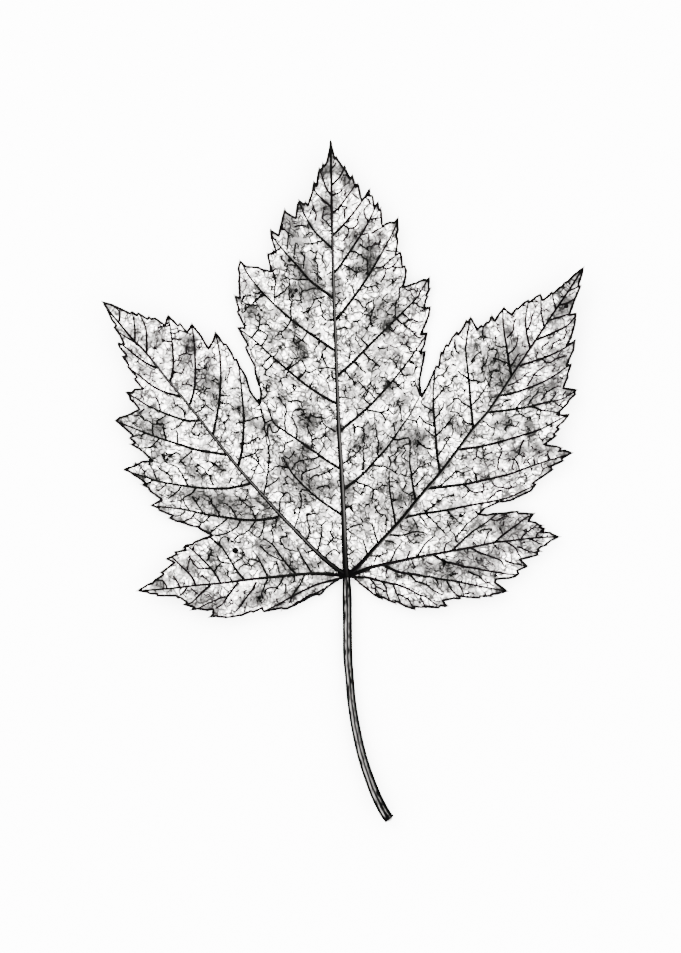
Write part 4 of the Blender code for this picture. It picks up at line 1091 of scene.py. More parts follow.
# %% Strong strokes of the net
NET_CENTRE_LEFT = [
    [(-58, 106.5), (-70, 108.3), (-76, 104.5), (-80, 101.5)],
    [(-28, 119), (-31, 116.5), (-44, 114.5), (-44, 111)],
    [(-44, 114), (-50, 113), (-54, 109), (-55.5, 105)],
    [(-46, 94), (-46, 99), (-43, 102.5), (-36, 105), (-27, 109)],
    [(-14, 107), (-19, 103), (-26, 100), (-33, 99), (-39, 93), (-37, 86)],
    [(-31, 86), (-22.5, 89), (-18, 88)],
    [(-53, 124), (-55, 120), (-58.5, 116), (-63, 118.5)],
    [(-36, 126), (-36, 137), (-41, 148)],
    [(-59, 99), (-62, 96), (-61.5, 92)],
    [(-38, 84), (-47, 83.5), (-46, 72), (-49, 58), (-53.5, 46)],
    [(-41, 33.5), (-38, 46), (-41, 57), (-40.5, 61)],
    [(-30, 23), (-27, 34), (-25.5, 46), (-26.5, 50)],
    [(-22, 15), (-19.5, 21), (-12, 25), (-7, 20)],
    [(-17, 43), (-14, 37), (-6, 35)],
    [(-14, 37), (-20, 30), (-26, 31)],
    [(-68.5, 62), (-67, 76), (-63.5, 79), (-61.5, 82), (-58, 81), (-56.5, 76)],
    [(-82, 87), (-72, 93), (-68.5, 98)],
    [(-108, 115), (-99, 119), (-93, 121), (-89, 125)],
    [(-98, 119), (-90, 113), (-82, 101)],
    [(-92, 120), (-89, 112), (-97, 94)],
    [(-105, 130), (-99, 131), (-90, 137.5), (-87, 135.5), (-81, 139)],
    [(-104, 152), (-88, 158), (-84, 158), (-82, 152), (-74, 155)],
    [(-67, 147), (-70, 143.5), (-75, 142), (-78, 152)],
    [(-78, 151), (-80, 145), (-78, 130), (-79, 125)],
    [(-62, 143), (-62.5, 158), (-61, 165), (-66, 174)],
    [(-51, 136), (-50.5, 147), (-56, 158)],
    [(-54, 134), (-63, 130), (-63, 125), (-65.5, 122)],
    [(-37, 160), (-39, 155), (-36, 151)],
    [(-37, 160), (-30, 156)],
    [(-12, 142), (-17, 146), (-22, 148), (-24, 151), (-26, 155)],
    [(-15.5, 346), (-22, 352.5), (-26, 356)],
]
NET_CENTRE_RIGHT = [
    [(5, 150), (8, 147.5), (13, 147.5), (16.5, 144.5), (16, 134)],
    [(30, 119), (31, 131), (29, 141), (28, 150)],
    [(16, 105), (16, 120), (15, 127)],
    [(-4, 111), (7, 119.5), (14, 127)],
    [(24, 110.5), (30, 108.5), (37, 108), (41, 106), (51, 100.5)],
    [(41, 119), (42, 117), (47, 120.5)],
    [(42, 117), (43, 110), (42, 107)],
    [(7, 92.5), (13, 90.5), (19, 89), (24, 86), (30, 85), (34, 89), (40, 88.5)],
    [(26, 86), (26, 80), (24, 75), (25, 70)],
    [(27, 68), (31, 62), (36, 60), (39, 56), (38, 42)],
    [
        (46, 135), (52, 135), (61, 136.5), (61, 131), (56, 128.5), (58, 124),
        (54, 118), (61.5, 112.5),
    ],
    [(70, 135), (73, 130), (77, 127.5), (85, 124)],
    [(65, 100), (70, 106), (76, 109), (83, 112)],
    [(66, 87.5), (75, 96.5), (77, 103)],
    [(91, 119.5), (95, 125), (102, 137)],
    [(88, 138), (93, 143), (102, 153)],
    [(88, 157), (92, 162), (96, 169)],
    [(88, 137), (79, 144), (77, 147)],
    [(87, 148), (79, 151), (72, 158), (69, 154), (60, 155)],
    [(86, 163), (75, 170), (74, 174)],
    [(20, 164.5), (32, 162.5), (41, 164), (46, 160), (48, 161)],
    [(33, 162), (36, 158), (38, 154)],
    [(53, 168), (53, 160), (55, 153)],
    [(46, 151), (47, 143)],
    [(-3, 65), (3, 69), (9, 71)],
]
NET_TOP = [
    [(-53, 348), (-47, 348.2), (-41, 348.4)],
    [(-67.3, 345), (-63, 344.2), (-60, 340.8), (-59.5, 335), (-60.5, 327.3), (-61, 324)],
    [(-24.3, 333.6), (-29.4, 332.4), (-35.3, 330.3), (-42.9, 330.3), (-43.7, 327.3), (-47, 326)],
    [(-41.2, 338.3), (-37, 342), (-34.9, 341.8)],
    [(-52.1, 329), (-53, 322.3), (-53.8, 315.6)],
    [(-47, 322.3), (-43.3, 317.2), (-43.7, 307), (-44, 305.5)],
    [
        (-37.8, 324), (-33.6, 321.9), (-31, 320.6), (-33.2, 315.6), (-30.2, 309.7),
        (-29.4, 302.9), (-29.8, 291),
    ],
    [(-33.6, 302), (-30.2, 299.6)],
    [(-25.6, 319), (-25.2, 313.9), (-22.7, 310.5)],
    [(-51.3, 308), (-59.7, 309.2), (-61, 302)],
    [(-39.5, 294.9), (-49.6, 294.5), (-62.2, 295.8), (-67.3, 293.2)],
    [
        (-72.3, 276.8), (-66.4, 281.4), (-62.2, 282.7), (-61.4, 286), (-58, 288.6),
        (-58.4, 294.5),
    ],
    [(-65.6, 292), (-62.2, 287)],
    [(-76.1, 303.8), (-73.6, 301.2), (-71.9, 290.3), (-73.2, 277.7), (-72.8, 271.8)],
    [
        (-56.3, 254.5), (-56.3, 271.8), (-51.3, 273.9), (-47, 273.4), (-45.8, 281.9),
        (-40.3, 284), (-31.9, 286.9),
    ],
    [(-58, 284.4), (-58, 275.1), (-55.5, 272.6)],
    [(-21.8, 278.5), (-33.6, 274.3), (-34.4, 269.7), (-37.8, 265.9)],
    [
        (3, 322.3), (7.7, 321.9), (13.6, 319.3), (14.8, 316.4), (19, 314.7),
        (19.9, 310.5), (20.3, 298.7),
    ],
    [
        (12.7, 330.7), (15.2, 327.3), (17.8, 325.7), (23.7, 327.8), (28.7, 329.9),
        (31.7, 327.8), (32.5, 325.7),
    ],
    [(12.7, 339.1), (20.3, 340.4), (21.1, 334.9), (22.4, 331.6)],
    [(23.7, 340), (28.7, 343.3), (37.1, 347.6)],
    [(38, 324), (43.9, 323.1), (50.6, 322.7)],
    [(27.5, 306.7), (34.6, 307.1), (38.8, 305.4), (43.9, 306.7), (48.9, 306.7), (55.7, 306.3)],
    [(34.6, 307.1), (41.3, 313), (47.2, 317.2)],
    [(44.7, 307.1), (48, 310.5), (50.6, 314.7)],
    [(32.9, 291.6), (37.1, 298.7), (38.8, 304.6)],
    [(43.9, 295.3), (45.6, 292), (48.9, 294)],
    [(14.4, 288.6), (20.3, 287.3), (27, 288.6), (30.4, 286)],
    [(27.5, 291.5), (33, 289.4)],
    [(54, 287.8), (51.5, 285.2), (51.5, 276.8), (48, 270.9), (47.7, 256.6)],
    [(6.4, 275.1), (10.2, 274.3), (15.2, 268), (19.9, 265), (15.7, 260.8), (23.7, 258.7)],
    [(3.9, 288.6), (6, 284), (6.4, 280.2)],
    [(-4.1, 308.8), (3.5, 305.4), (7.7, 302)],
    [(-11.7, 267.6), (-9.2, 272.6), (-3.3, 273.9)],
    [(-4.5, 348.8), (1.8, 345.4), (6.8, 346.7), (10.2, 350), (10.6, 358.5)],
    [(-2.9, 356), (-2.9, 363.6), (0, 366.5), (-6.7, 367.8)],
    [(20.7, 351.8), (17, 357.7), (16.5, 363.6), (19.5, 367.8)],
    [(-31.9, 352.6), (-31.5, 359.3), (-35.3, 363.6), (-38.7, 356)],
    [(22.8, 354.3), (30.4, 355.6), (33.8, 356.4)],
    [(26.2, 267.6), (24.5, 260.8), (22.8, 256.6)],
]
NET_RIGHT_TOP = [
    [
        (87.2, 174.3), (92.3, 181), (96.9, 186.9), (101.6, 189), (104.5, 193.7),
        (107, 197.9), (111.2, 197.4),
    ],
    [(122.6, 193.7), (118, 197), (113.3, 200.4), (110.4, 203.8)],
    [(123.4, 168), (118, 169.2), (112.9, 173.9), (109.6, 176.8), (104.5, 172.2), (98.6, 166.7)],
    [(124.7, 150.3), (118, 152.4), (113.8, 157.4), (110.4, 161.2), (105.3, 162.5), (102, 163.3)],
    [(96.1, 145.7), (102.8, 153.2), (104.9, 157.4), (107.4, 160.4)],
    [(87.2, 154.9), (92.7, 162.5), (96.1, 168.4)],
    [(123.9, 168.8), (130.6, 176), (135.7, 183.6), (142.4, 193.7), (143.7, 202), (144, 203.8)],
    [(144, 203.3), (151.7, 202.9), (155.9, 199.6)],
    [(122.2, 193.7), (126.4, 194.5), (132.3, 192.4), (136.5, 192.8), (137.3, 196.2)],
    [(144.5, 216.4), (148.3, 215.1), (156.7, 212.6), (160.9, 210)],
    [(141.6, 224.8), (145.8, 225.2), (149.1, 223), (147.5, 217.2)],
    [(158.4, 226.9), (150, 228.2), (148.3, 229.4)],
    [(134, 206.3), (138.2, 212.2), (139.9, 216.4)],
    [(160.5, 219.8), (166.8, 225.7), (168.9, 230.7), (169.8, 238.3)],
    [(159.2, 235.8), (164.3, 242.5), (166, 249.2), (167.7, 255)],
    [(178.6, 243.3), (182, 249.2), (183.7, 257.7), (186.2, 263.6)],
    [(163.4, 208), (166.8, 213.9), (170.2, 219.8)],
    [(123, 212.2), (126.4, 216.4), (129.8, 220.6), (133.1, 223)],
    [(136.5, 237.4), (134.4, 240.8), (135.2, 245.9), (136.5, 249.2)],
    [(104.5, 224), (104, 219.8), (107, 216.4)],
    [(104.9, 210), (108.3, 208)],
    [(107, 232.4), (107.9, 224.8), (112, 219.8)],
    [(96.9, 214.7), (101.6, 214.7), (102.8, 216.4)],
    [(86, 193.7), (90.2, 198.7), (94.4, 200), (98.6, 203.8), (101.6, 209.7)],
    [(167.7, 165), (171.9, 170.9), (173.6, 173.4), (178.6, 176)],
    [(180.3, 168.4), (182.8, 174.3), (187, 179.3), (190.4, 183.6)],
    [(192.9, 173.4), (196.3, 179.3), (201.3, 183.6), (210.6, 188.6)],
    [(202.2, 173.4), (207.2, 179.3), (208, 182.7)],
    [(214.8, 178.5), (218.2, 183.6)],
    [(160.9, 174.3), (156.7, 172.6), (152.5, 166.7)],
    [(206.4, 171.8), (211.4, 168), (215.7, 166.3)],
    [(183.7, 167.5), (192.9, 164.2), (201.3, 162.9), (212.3, 161.2)],
    [(134.8, 153.2), (138.2, 151.6), (143.2, 146.5), (146.6, 147.3)],
    [(156.7, 144.8), (160.9, 149), (168.5, 148.2), (170.2, 152.4)],
    [(160, 188.6), (168.5, 192.4), (170.2, 193.7)],
    [(178.6, 187.8), (182.8, 193.7), (186.2, 199.6), (192, 204.6), (197.1, 208)],
    [(186.2, 199.6), (189.6, 198.3), (192.9, 198.7)],
    [(176.1, 197.9), (179.5, 201.2), (182.8, 202.5)],
    [(192.9, 226), (197.1, 229.9), (201.3, 232.4)],
    [(203, 224.8), (205.6, 230.7), (210.6, 234)],
    [(187.9, 216.4), (189.6, 222.3)],
    [(192.9, 215), (197.1, 213), (203, 212.2), (208.9, 215.6), (219, 219)],
]
NET_RIGHT = [
    [(19.8, 19), (30, 18.5), (37, 21), (41, 22)],
    [(29, 18), (27, 13)],
    [(38, 34), (44, 33), (49, 30)],
    [(76.5, 61), (87, 70), (97, 77.5), (100, 78.5)],
    [(93, 88), (104, 99), (108, 104)],
    [(116, 90), (120, 86), (125, 83), (133, 82)],
    [(100, 64), (104, 59), (114, 50.5)],
    [(79, 60), (89, 50), (97, 41)],
    [(65, 56), (69, 50), (70, 46)],
    [(72, 60), (75, 55), (80, 48)],
    [(144, 92), (149, 88), (160, 86), (166, 87)],
    [(140, 75), (146, 80), (151, 84), (157, 82)],
    [(168, 165.5), (172, 161), (180, 156.3)],
    [(180, 167.8), (187.6, 167), (195.3, 163.6)],
]
NET_LEFT = [
    [(-84.5, 77), (-81, 93), (-79, 110), (-78.3, 120), (-81, 134), (-84, 155), (-88, 172)],
    [(-92, 55), (-94, 61), (-97, 67), (-105, 73)],
    [(-110, 55), (-117, 67), (-124, 71)],
    [(-150, 154), (-161, 154), (-164, 164), (-173, 171)],
    [(-164, 154), (-168, 149), (-174, 145.5)],
    [(-151, 153), (-156, 143), (-153, 139)],
    [(-181, 134), (-184, 147), (-183, 150), (-194, 150.5)],
    [(-190, 151), (-188, 155), (-181, 159)],
    [(-194, 139), (-195, 150), (-199, 153)],
    [(-187, 163), (-189, 175)],
    [(-188, 136), (-195, 128.5), (-200, 126.5), (-208, 127)],
    [(-202, 141), (-215, 137)],
    [(-155, 125), (-158, 121), (-166, 114), (-169, 111)],
    [(-166, 113), (-161, 108)],
    [(-176, 119), (-171, 122.5), (-167, 119)],
    [(-159, 88), (-167, 103), (-173, 109), (-178, 110.5)],
    [(-175, 92), (-180, 102), (-186, 104), (-190, 109)],
    [(-190, 94), (-194, 104), (-198, 112)],
    [(-202, 98), (-204, 105), (-212, 112)],
    [(-134, 90), (-140, 101), (-147, 109)],
    [(-140, 103), (-135, 108)],
    [(-166, 88.5), (-170, 83), (-177, 78)],
    [(-181, 91), (-189, 83)],
    [(-195, 94), (-203, 89.5)],
    [(-152, 86), (-156, 81), (-164, 77), (-163, 72), (-158.5, 64.5)],
    [(-155, 78), (-150, 70), (-144, 61.5)],
    [(-127.5, 58.5), (-133, 68), (-137, 73)],
    [(-152.5, 62), (-156, 57), (-166, 52)],
    [(-162, 64), (-164, 61), (-172, 58)],
    [(-137, 59), (-140, 55), (-150, 48)],
    [(-120, 56), (-129, 48.5), (-137, 41)],
]
NET_LOWER_LEFT = [
    [(-82.5, 55), (-84, 49), (-87, 40), (-91, 37.5), (-98, 43)],
    [(-92, 53), (-99, 44), (-105, 40.5), (-110, 38), (-113, 35)],
    [(-71, 55), (-72, 49), (-76, 45), (-74, 36), (-75.5, 30)],
    [(-107, 54), (-110, 48), (-117, 43), (-122, 40.5), (-132, 39)],
    [(-61, 38), (-66, 37), (-67, 33), (-61, 26), (-50, 23)],
    [(-35, 24), (-41, 22.5), (-44, 25.5)],
    [(-125, 27), (-128, 32), (-127.5, 35), (-122, 38), (-118, 35.5)],
    [(-138, 38), (-130, 31), (-126, 27)],
    [(-113, 35), (-108, 39), (-103, 41.5)],
    [(-141, 14), (-137, 19.5), (-136, 26)],
    [(-137, 19.5), (-132, 18)],
    [(-130, 18), (-127, 13), (-116, 11)],
    [(-133, 4), (-127, 11.5)],
    [(-137, 6), (-147, 6), (-154, 11), (-157, 17), (-160, 5)],
    [(-113, 12), (-106, 16), (-103, 20)],
    [(-109, 2), (-116, 1)],
    [(-119, 5), (-120, 0), (-115, -6)],
    [(-122, -22), (-136, -27), (-149, -33.5)],
    [(-87, 29), (-80.5, 22), (-71, 16), (-65, 13.5)],
    [(-87, 13), (-98, 15.5), (-99.5, 11.5), (-106, 9), (-108, 5)],
    [(-58, 9), (-55, 14)],
    [(-71, 14), (-68, 2)],
    [(-53, -1), (-53, -6), (-56, -9)],
    [(-62, -9), (-62.5, -17)],
    [(-83, -18), (-79, -13.5), (-70, -13)],
    [(-27, 12), (-30, 10.5), (-27.5, 6)],
    [(-137, -8), (-145, 0)],
    [(-180, -13.5), (-181, -9), (-185, -6), (-191, -5)],
    [(-16, -9), (-30, -18), (-40, -22), (-50, -27.5), (-60, -33)],
]
NET_LOWER_RIGHT = [
    [(97, 23), (98, 30), (105, 34)],
    [(110, 31), (108, 37), (113, 43), (121, 52), (131, 60), (136, 64)],
    [(115, 44), (120, 44)],
    [(134, 44), (144, 45.5), (140, 40), (136, 31)],
    [(152, 47), (155, 41)],
    [(143, 55), (150, 54), (158, 60)],
    [(173, 36.5), (178, 41.5), (189, 50)],
    [(187.5, 37), (190, 41), (194, 45)],
    [(169, 28), (178, 24.5), (189, 21.5)],
    [(111, -8), (113, -13), (116, -19)],
    [(50, -18.5), (61, -25), (63, -29), (68, -33)],
    [(23, -4.5), (28.5, -12), (27.5, -17), (35, -25)],
    [(29, -12), (38, -16.5)],
    [(73, -21), (75, -27), (78, -32)],
    [(120, 3), (132, -2), (135, -6), (146, -10.5)],
]
NET_READ = (
    NET_CENTRE_LEFT + NET_CENTRE_RIGHT + NET_TOP + NET_RIGHT + NET_RIGHT_TOP + NET_LEFT
    + NET_LOWER_LEFT + NET_LOWER_RIGHT
)
NET_SEED = 5
HAND_SHAKE = 0.3
NET_ROOT = 2.1
NET_TIP = 1.5

draw = np.random.default_rng(NET_SEED)


def hand_drawn(points):
    """A read line, rounded, with the slight shake of the hand."""
    line = smooth_line(points, RIB_STEP)
    return line + draw.normal(0, HAND_SHAKE, line.shape)


NET_LINES = [hand_drawn(line) for line in NET_READ]
strokes("net_strong", NET_LINES, NET_ROOT, NET_TIP, dark_ink)

# %% [markdown]
# The rest of the net grows as it does on a leaf. Young leaf skin calls for water from
# scattered places, and each call draws the nearest vein a short step towards it, until
# the vein is close enough. A leaf does this in turns, first with few calls far apart
# and then with more between them, so its veins have ranks. The draw is seeded, so it
# grows the same net each time.

# %% Places that call for a vein
CALL_SCATTER = 0.46
NET_CLEAR = 1.8


def scattered_calls(step):
    """Places over the whole leaf, one in each cell of a grid but anywhere in it."""
    low, high = MARGIN.min(axis=0), MARGIN.max(axis=0)
    x, y = np.meshgrid(np.arange(low[0], high[0], step), np.arange(low[1], high[1], step))
    points = np.column_stack([x.ravel(), y.ravel()])
    points += draw.uniform(-CALL_SCATTER, CALL_SCATTER, points.shape) * step
    points = points[inside_margin(points)]
    return points[gap_to_margin(points) > NET_CLEAR]


# %% Grow towards the calls
GROWTH_ROUNDS = 30
GROWTH_WANDER = 0.36


def tree_of(places):
    """A search tree over flat places."""
    tree = kdtree.KDTree(len(places))
    for i, place in enumerate(places):
        tree.insert((place[0], place[1], 0), i)
    tree.balance()
    return tree


def pulls_on(places, waiting, answered):
    """How the waiting calls pull on their nearest places, and the calls still open."""
    tree = tree_of(places)
    pulls, still = {}, []
    for call in waiting:
        spot, i, gap = tree.find((call[0], call[1], 0))
        if gap < answered:
            continue
        still.append(call)
        pull = np.array([call[0] - spot[0], call[1] - spot[1]]) / gap
        pulls[i] = pulls.get(i, 0) + pull
    return pulls, still


def grow(places, waiting, answered, step):
    """Add places to the list towards the calls. Gives the parent of each new one."""
    parents = []
    for _ in range(GROWTH_ROUNDS):
        pulls, waiting = pulls_on(places, waiting, answered)
        if not pulls:
            break
        roots = list(pulls)
        steps = np.array([pulls[i] for i in roots])
        steps /= np.maximum(np.linalg.norm(steps, axis=1), 1e-6)[:, None]
        steps += draw.normal(0, GROWTH_WANDER, steps.shape)
        steps *= (step / np.linalg.norm(steps, axis=1))[:, None]
        grown = np.array([places[i] for i in roots]) + steps
        for i, place, kept in zip(roots, grown, inside_margin(grown)):
            if kept:
                places.append(tuple(place))
                parents.append(i)
    return parents


# %% [markdown]
# What grew is a list of places that each know the one they grew from. To draw them, each
# branch is followed from its root by its heaviest child, and the others start branches
# of their own. A place weighs as much as all that grew from it, which gives the pen's
# width, and a tip that ends near another branch is joined to it, to close the mesh.

# %% Follow the branches
JOIN_SHARE = 0.95
JOIN_SKIP = 12
NET_SHORTEST = 3
RIB_SHORTEST = 5
RIB_PLACES = sum(len(line) for line in MAIN_LINES + SIDE_LINES)


def weights_of(parents, first):
    """How many places grew from each new place, itself included, and its children."""
    weight = {first + i: 1 for i in range(len(parents))}
    heirs = {}
    for i in range(len(parents) - 1, -1, -1):
        child, parent = first + i, parents[i]
        heirs.setdefault(parent, []).append(child)
        if parent in weight:
            weight[parent] += weight[child]
    return weight, heirs


def branch_from(start, heirs, weight):
    """The places from a start to a tip, always by the heaviest child."""
    branch = [start]
    while branch[-1] in heirs:
        branch.append(max(heirs[branch[-1]], key=lambda i: weight[i]))
    return branch


def joined(branch, places, tree, reach):
    """The branch, led on to another one where that is close to its tip."""
    if draw.random() > JOIN_SHARE:
        return branch
    own = set(branch[-JOIN_SKIP:])
    tip = (*places[branch[-1]], 0)
    others = [(gap, i) for _, i, gap in tree.find_range(tip, reach) if i not in own]
    others = [(gap, i) for gap, i in others if gap > reach / 4]
    return branch + [min(others)[1]] if others else branch


def branches_of(places, parents, first, reach):
    """All new branches, each with its places and the weight of its root."""
    weight, heirs = weights_of(parents, first)
    tree = tree_of(places)
    branches = []
    for parent, children in sorted(heirs.items()):
        children.sort(key=lambda i: weight[i])
        starts = children if parent < first else children[:-1]
        for child in starts:
            branch = [parent] + branch_from(child, heirs, weight)
            if len(branch) >= (RIB_SHORTEST if parent < RIB_PLACES else NET_SHORTEST):
                branches.append((joined(branch, places, tree, reach), weight[child]))
    return branches


# %% Grow the ranks of the net
NET_RANKS = [
    {"calls": 12, "answered": 4.6, "step": 2.3, "join": 11},
    {"calls": 6.8, "answered": 3.2, "step": 1.9, "join": 8},
    {"calls": 4.3, "answered": 2.3, "step": 1.5, "join": 5},
]
NET_PLACES = [tuple(row) for row in np.vstack(MAIN_LINES + SIDE_LINES + NET_LINES)]
net_ranks = []
for rank in NET_RANKS:
    first = len(NET_PLACES)
    calls = scattered_calls(rank["calls"])
    parents = grow(NET_PLACES, calls, rank["answered"], rank["step"])
    net_ranks.append(branches_of(NET_PLACES, parents, first, rank["join"]))
    print("calls", len(calls), "places", len(parents), "branches", len(net_ranks[-1]))

# %% [markdown]
# Each rank gets its own pen. The width follows the weight of the branch and the hand's
# pressure, and some strokes of each rank are drawn with thinner ink.

# %% Draw the branches
NET_ARCH = [(-1, -0.3), (-0.7, 0.45), (0, 0.75), (0.7, 0.45), (1, -0.3)]
NET_TAPER = 0.85
PEN_PRESSURE = (0.8, 1.25)
HEAVIEST = 40
WEIGHT_POWER = 0.4
PENS = [
    {"name": "net_first", "thin": 1.9, "gain": 0.18, "faint": 0.0},
    {"name": "net_second", "thin": 1.75, "gain": 0.15, "faint": 0.1},
    {"name": "net_third", "thin": 1.5, "gain": 0.12, "faint": 0.25},
]


def branch_tube(branch, width):
    """A branch's points on the blade and its half widths, every second place."""
    kept = branch[:-1:2] + branch[-1:]
    points = np.array([NET_PLACES[i] for i in kept])
    pressure = draw.uniform(*PEN_PRESSURE, len(kept))
    full = width * np.linspace(1, NET_TAPER, len(kept)) * pressure
    return points, full * UNIT / 2


def draw_branches(name, chosen, finish):
    """Tubes for (branch, width) pairs, as one piece."""
    drawn = [branch_tube(branch, width) for branch, width in chosen]
    ends = np.cumsum([len(points) for points, _ in drawn])[:-1]
    rows = np.split(top_of(np.vstack([points for points, _ in drawn])), ends)
    lines = [(row, radii, False) for row, (_, radii) in zip(rows, drawn)]
    settle(tubes(name, lines, NET_ARCH), finish)


def pen_width(weight, thin, gain):
    """The full width of a branch in drawing units, from its weight."""
    return thin + gain * min(weight, HEAVIEST) ** WEIGHT_POWER


middle_ink = ink("middle ink", dark=0.001, light=0.01)
faint_ink = ink("faint ink", dark=0.01, light=0.06)
for rank, pen in zip(net_ranks, PENS):
    chosen = [(branch, pen_width(weight, pen["thin"], pen["gain"])) for branch, weight in rank]
    is_faint = draw.random(len(chosen)) < pen["faint"]
    strong = [pair for pair, faint in zip(chosen, is_faint) if not faint]
    draw_branches(pen["name"], strong, dark_ink)
    if is_faint.any():
        thinned = [pair for pair, faint in zip(chosen, is_faint) if faint]
        draw_branches(pen["name"] + "_faint", thinned, faint_ink)

# %% [markdown]
# Where the wash is dark, the pen has gone over it with short hatching, painted shade in
# strokes. It is scattered by a seeded draw that mostly keeps to the wash, and it follows
# the lean of the nearest side rib.

# %% Hatching of painted shade
HATCH_TRIES = 21000
HATCH_LONGEST = 8.0
HATCH_SPREAD = 0.4
HATCH_BARE = 0.12
HATCH_KEEP = 0.8
HATCH_REACH = (0.2, 0.5)
HATCH_ROOT = 1.4
HATCH_TIP = 0.9
SOFT_TIP = 1.0
HATCH_BEND = 0.25
SOFT_SHARE = 0.5


def leans(points):
    """The direction of the nearest side rib at each point, as an angle."""
    rows = np.vstack([line[:-1] for line in SIDE_LINES])
    ways = np.vstack([np.diff(line, axis=0) for line in SIDE_LINES])
    tree = tree_of(rows)
    nearest = [tree.find((x, y, 0))[1] for x, y in points]
    return np.arctan2(ways[nearest, 1], ways[nearest, 0])


def shade_hatching():
    """Short strokes of painted shade over the washed parts, as rows of three points."""
    low, high = MARGIN.min(axis=0), MARGIN.max(axis=0)
    middles = draw.uniform(low, high, (HATCH_TRIES, 2))
    middles = middles[inside_margin(middles)]
    middles = middles[gap_to_margin(middles) > HATCH_LONGEST / 2]
    chance = HATCH_BARE + HATCH_KEEP * shade_and_blotch_darkness(middles)
    middles = middles[draw.random(len(middles)) < chance]
    turn = leans(middles) + draw.normal(0, HATCH_SPREAD, len(middles))
    reach = draw.uniform(*HATCH_REACH, len(middles))[:, None] * HATCH_LONGEST
    out = np.column_stack([np.cos(turn), np.sin(turn)]) * reach
    bend = np.column_stack([-out[:, 1], out[:, 0]])
    bend *= draw.uniform(-HATCH_BEND, HATCH_BEND, len(middles))[:, None]
    return np.stack([middles - out, middles + bend, middles + out], axis=1)


shade_hatches = shade_hatching()
print("shade_hatches", len(shade_hatches))
soft = draw.random(len(shade_hatches)) < SOFT_SHARE
strokes("hatching_dark", list(shade_hatches[~soft]), HATCH_ROOT, HATCH_TIP, middle_ink)
strokes("hatching_soft", list(shade_hatches[soft]), HATCH_ROOT, SOFT_TIP, faint_ink)

# %% [markdown]
# Here and there the ink has left a spot, and the ribs meet in a knot of it. The larger
# spots are listed and the specks are drawn by chance.

# %% Spots and specks
SPOTS = [
    (-112, 24, 3.2), (-115, 33, 1.6), (-184, 119.5, 2), (-180, 115, 1.4),
    (-178, 118, 1.3), (-150.5, 103.5, 1.6), (113, 59.5, 1.6), (7, 128, 1.6),
    (-42, 75, 1.6), (176.5, 32.5, 1.3), (-89, 174, 1.8), (33, 126, 1.8),
    (20, 301, 2.2), (-58, 314, 2.0), (40, 250, 1.8), (218, 268, 2.2), (-88, -23, 2.2),
    (-51.3, 284.1, 2.4), (-54.8, 278.3, 2.2), (-86.1, 264.3, 1.5), (-39.6, 262.3, 2),
    (-43.5, 261.7, 1.4), (-0.5, 1.8, 5), (-4, 1, 3), (4, 1, 3),
]
SPECKS = 420
SPECK_SMALLEST = 0.45
SPECK_LARGEST = 1.0
SPECK_CLEAR = 3
SPOT_HEIGHT = 0.35
SPOT_STRETCH = (0.8, 1.25)


def make_spots():
    """Low domes of dried ink, larger ones by hand and specks by chance."""
    low, high = MARGIN.min(axis=0), MARGIN.max(axis=0)
    specks = draw.uniform(low, high, (SPECKS * 3, 2))
    specks = specks[inside_margin(specks)]
    specks = specks[gap_to_margin(specks) > SPECK_CLEAR][:SPECKS]
    sizes = draw.uniform(SPECK_SMALLEST, SPECK_LARGEST, len(specks))
    rows = np.array(SPOTS + [(*speck, size) for speck, size in zip(specks, sizes)])
    shape = bmesh.new()
    for (x, y, z), radius in zip(top_of(rows[:, :2]), rows[:, 2] * UNIT):
        dome = bmesh.ops.create_icosphere(shape, subdivisions=2 if radius > UNIT else 1, radius=1)
        stretch = [radius * draw.uniform(*SPOT_STRETCH) for _ in range(2)]
        bmesh.ops.scale(shape, vec=(*stretch, radius * SPOT_HEIGHT), verts=dome["verts"])
        bmesh.ops.translate(shape, vec=(x, y, z), verts=dome["verts"])
    return finished("spots", shape)


settle(make_spots(), dark_ink)

# %% [markdown]
# The pen goes once around the whole margin. The line stands a little over the blade's
# edge and covers the cut side of the sheet.

# %% The edge line
EDGE_WIDTH = 2.9
EDGE_PRESSURE = 0.35
EDGE_STEP = 1.5
SHARPEST = 0.4


def edge_corners():
    """The margin moved in by half the pen's width, so the line ends at the outline."""
    before = MARGIN - np.roll(MARGIN, 1, axis=0)
    after = np.roll(MARGIN, -1, axis=0) - MARGIN
    before /= np.linalg.norm(before, axis=1)[:, None]
    after /= np.linalg.norm(after, axis=1)[:, None]
    along = before + after
    length = np.maximum(np.linalg.norm(along, axis=1), 1e-6)[:, None]
    inward = np.column_stack([-along[:, 1], along[:, 0]]) / length
    return MARGIN + inward * EDGE_WIDTH / 2 / np.maximum(length / 2, SHARPEST)


def stepped(corners, step):
    """A closed line with every corner kept and even steps between them."""
    rows = []
    for a, b in zip(corners, np.roll(corners, -1, axis=0)):
        count = max(1, math.ceil(np.linalg.norm(b - a) / step))
        rows.append(a + (b - a) * np.arange(count)[:, None] / count)
    return np.vstack(rows)


edge = stepped(edge_corners(), EDGE_STEP)
pressure = draw.uniform(1 - EDGE_PRESSURE, 1, len(edge)) * EDGE_WIDTH * UNIT / 2
settle(tubes("leaf_edge", [(top_of(edge), pressure, True)], SIDE_ARCH), dark_ink)

# %% [markdown]
# The stalk is a tube with a shallow groove, a little thicker towards its cut end. It is
# drawn with a heavy line of painted shade on each side and one down the middle in the
# groove, with a pale band of painted highlight between them, and the ramp over its UV map
# lays them along it again. Each row of the stalk holds x and y in drawing units, and the
# height and the radius in shares of its usual radius.

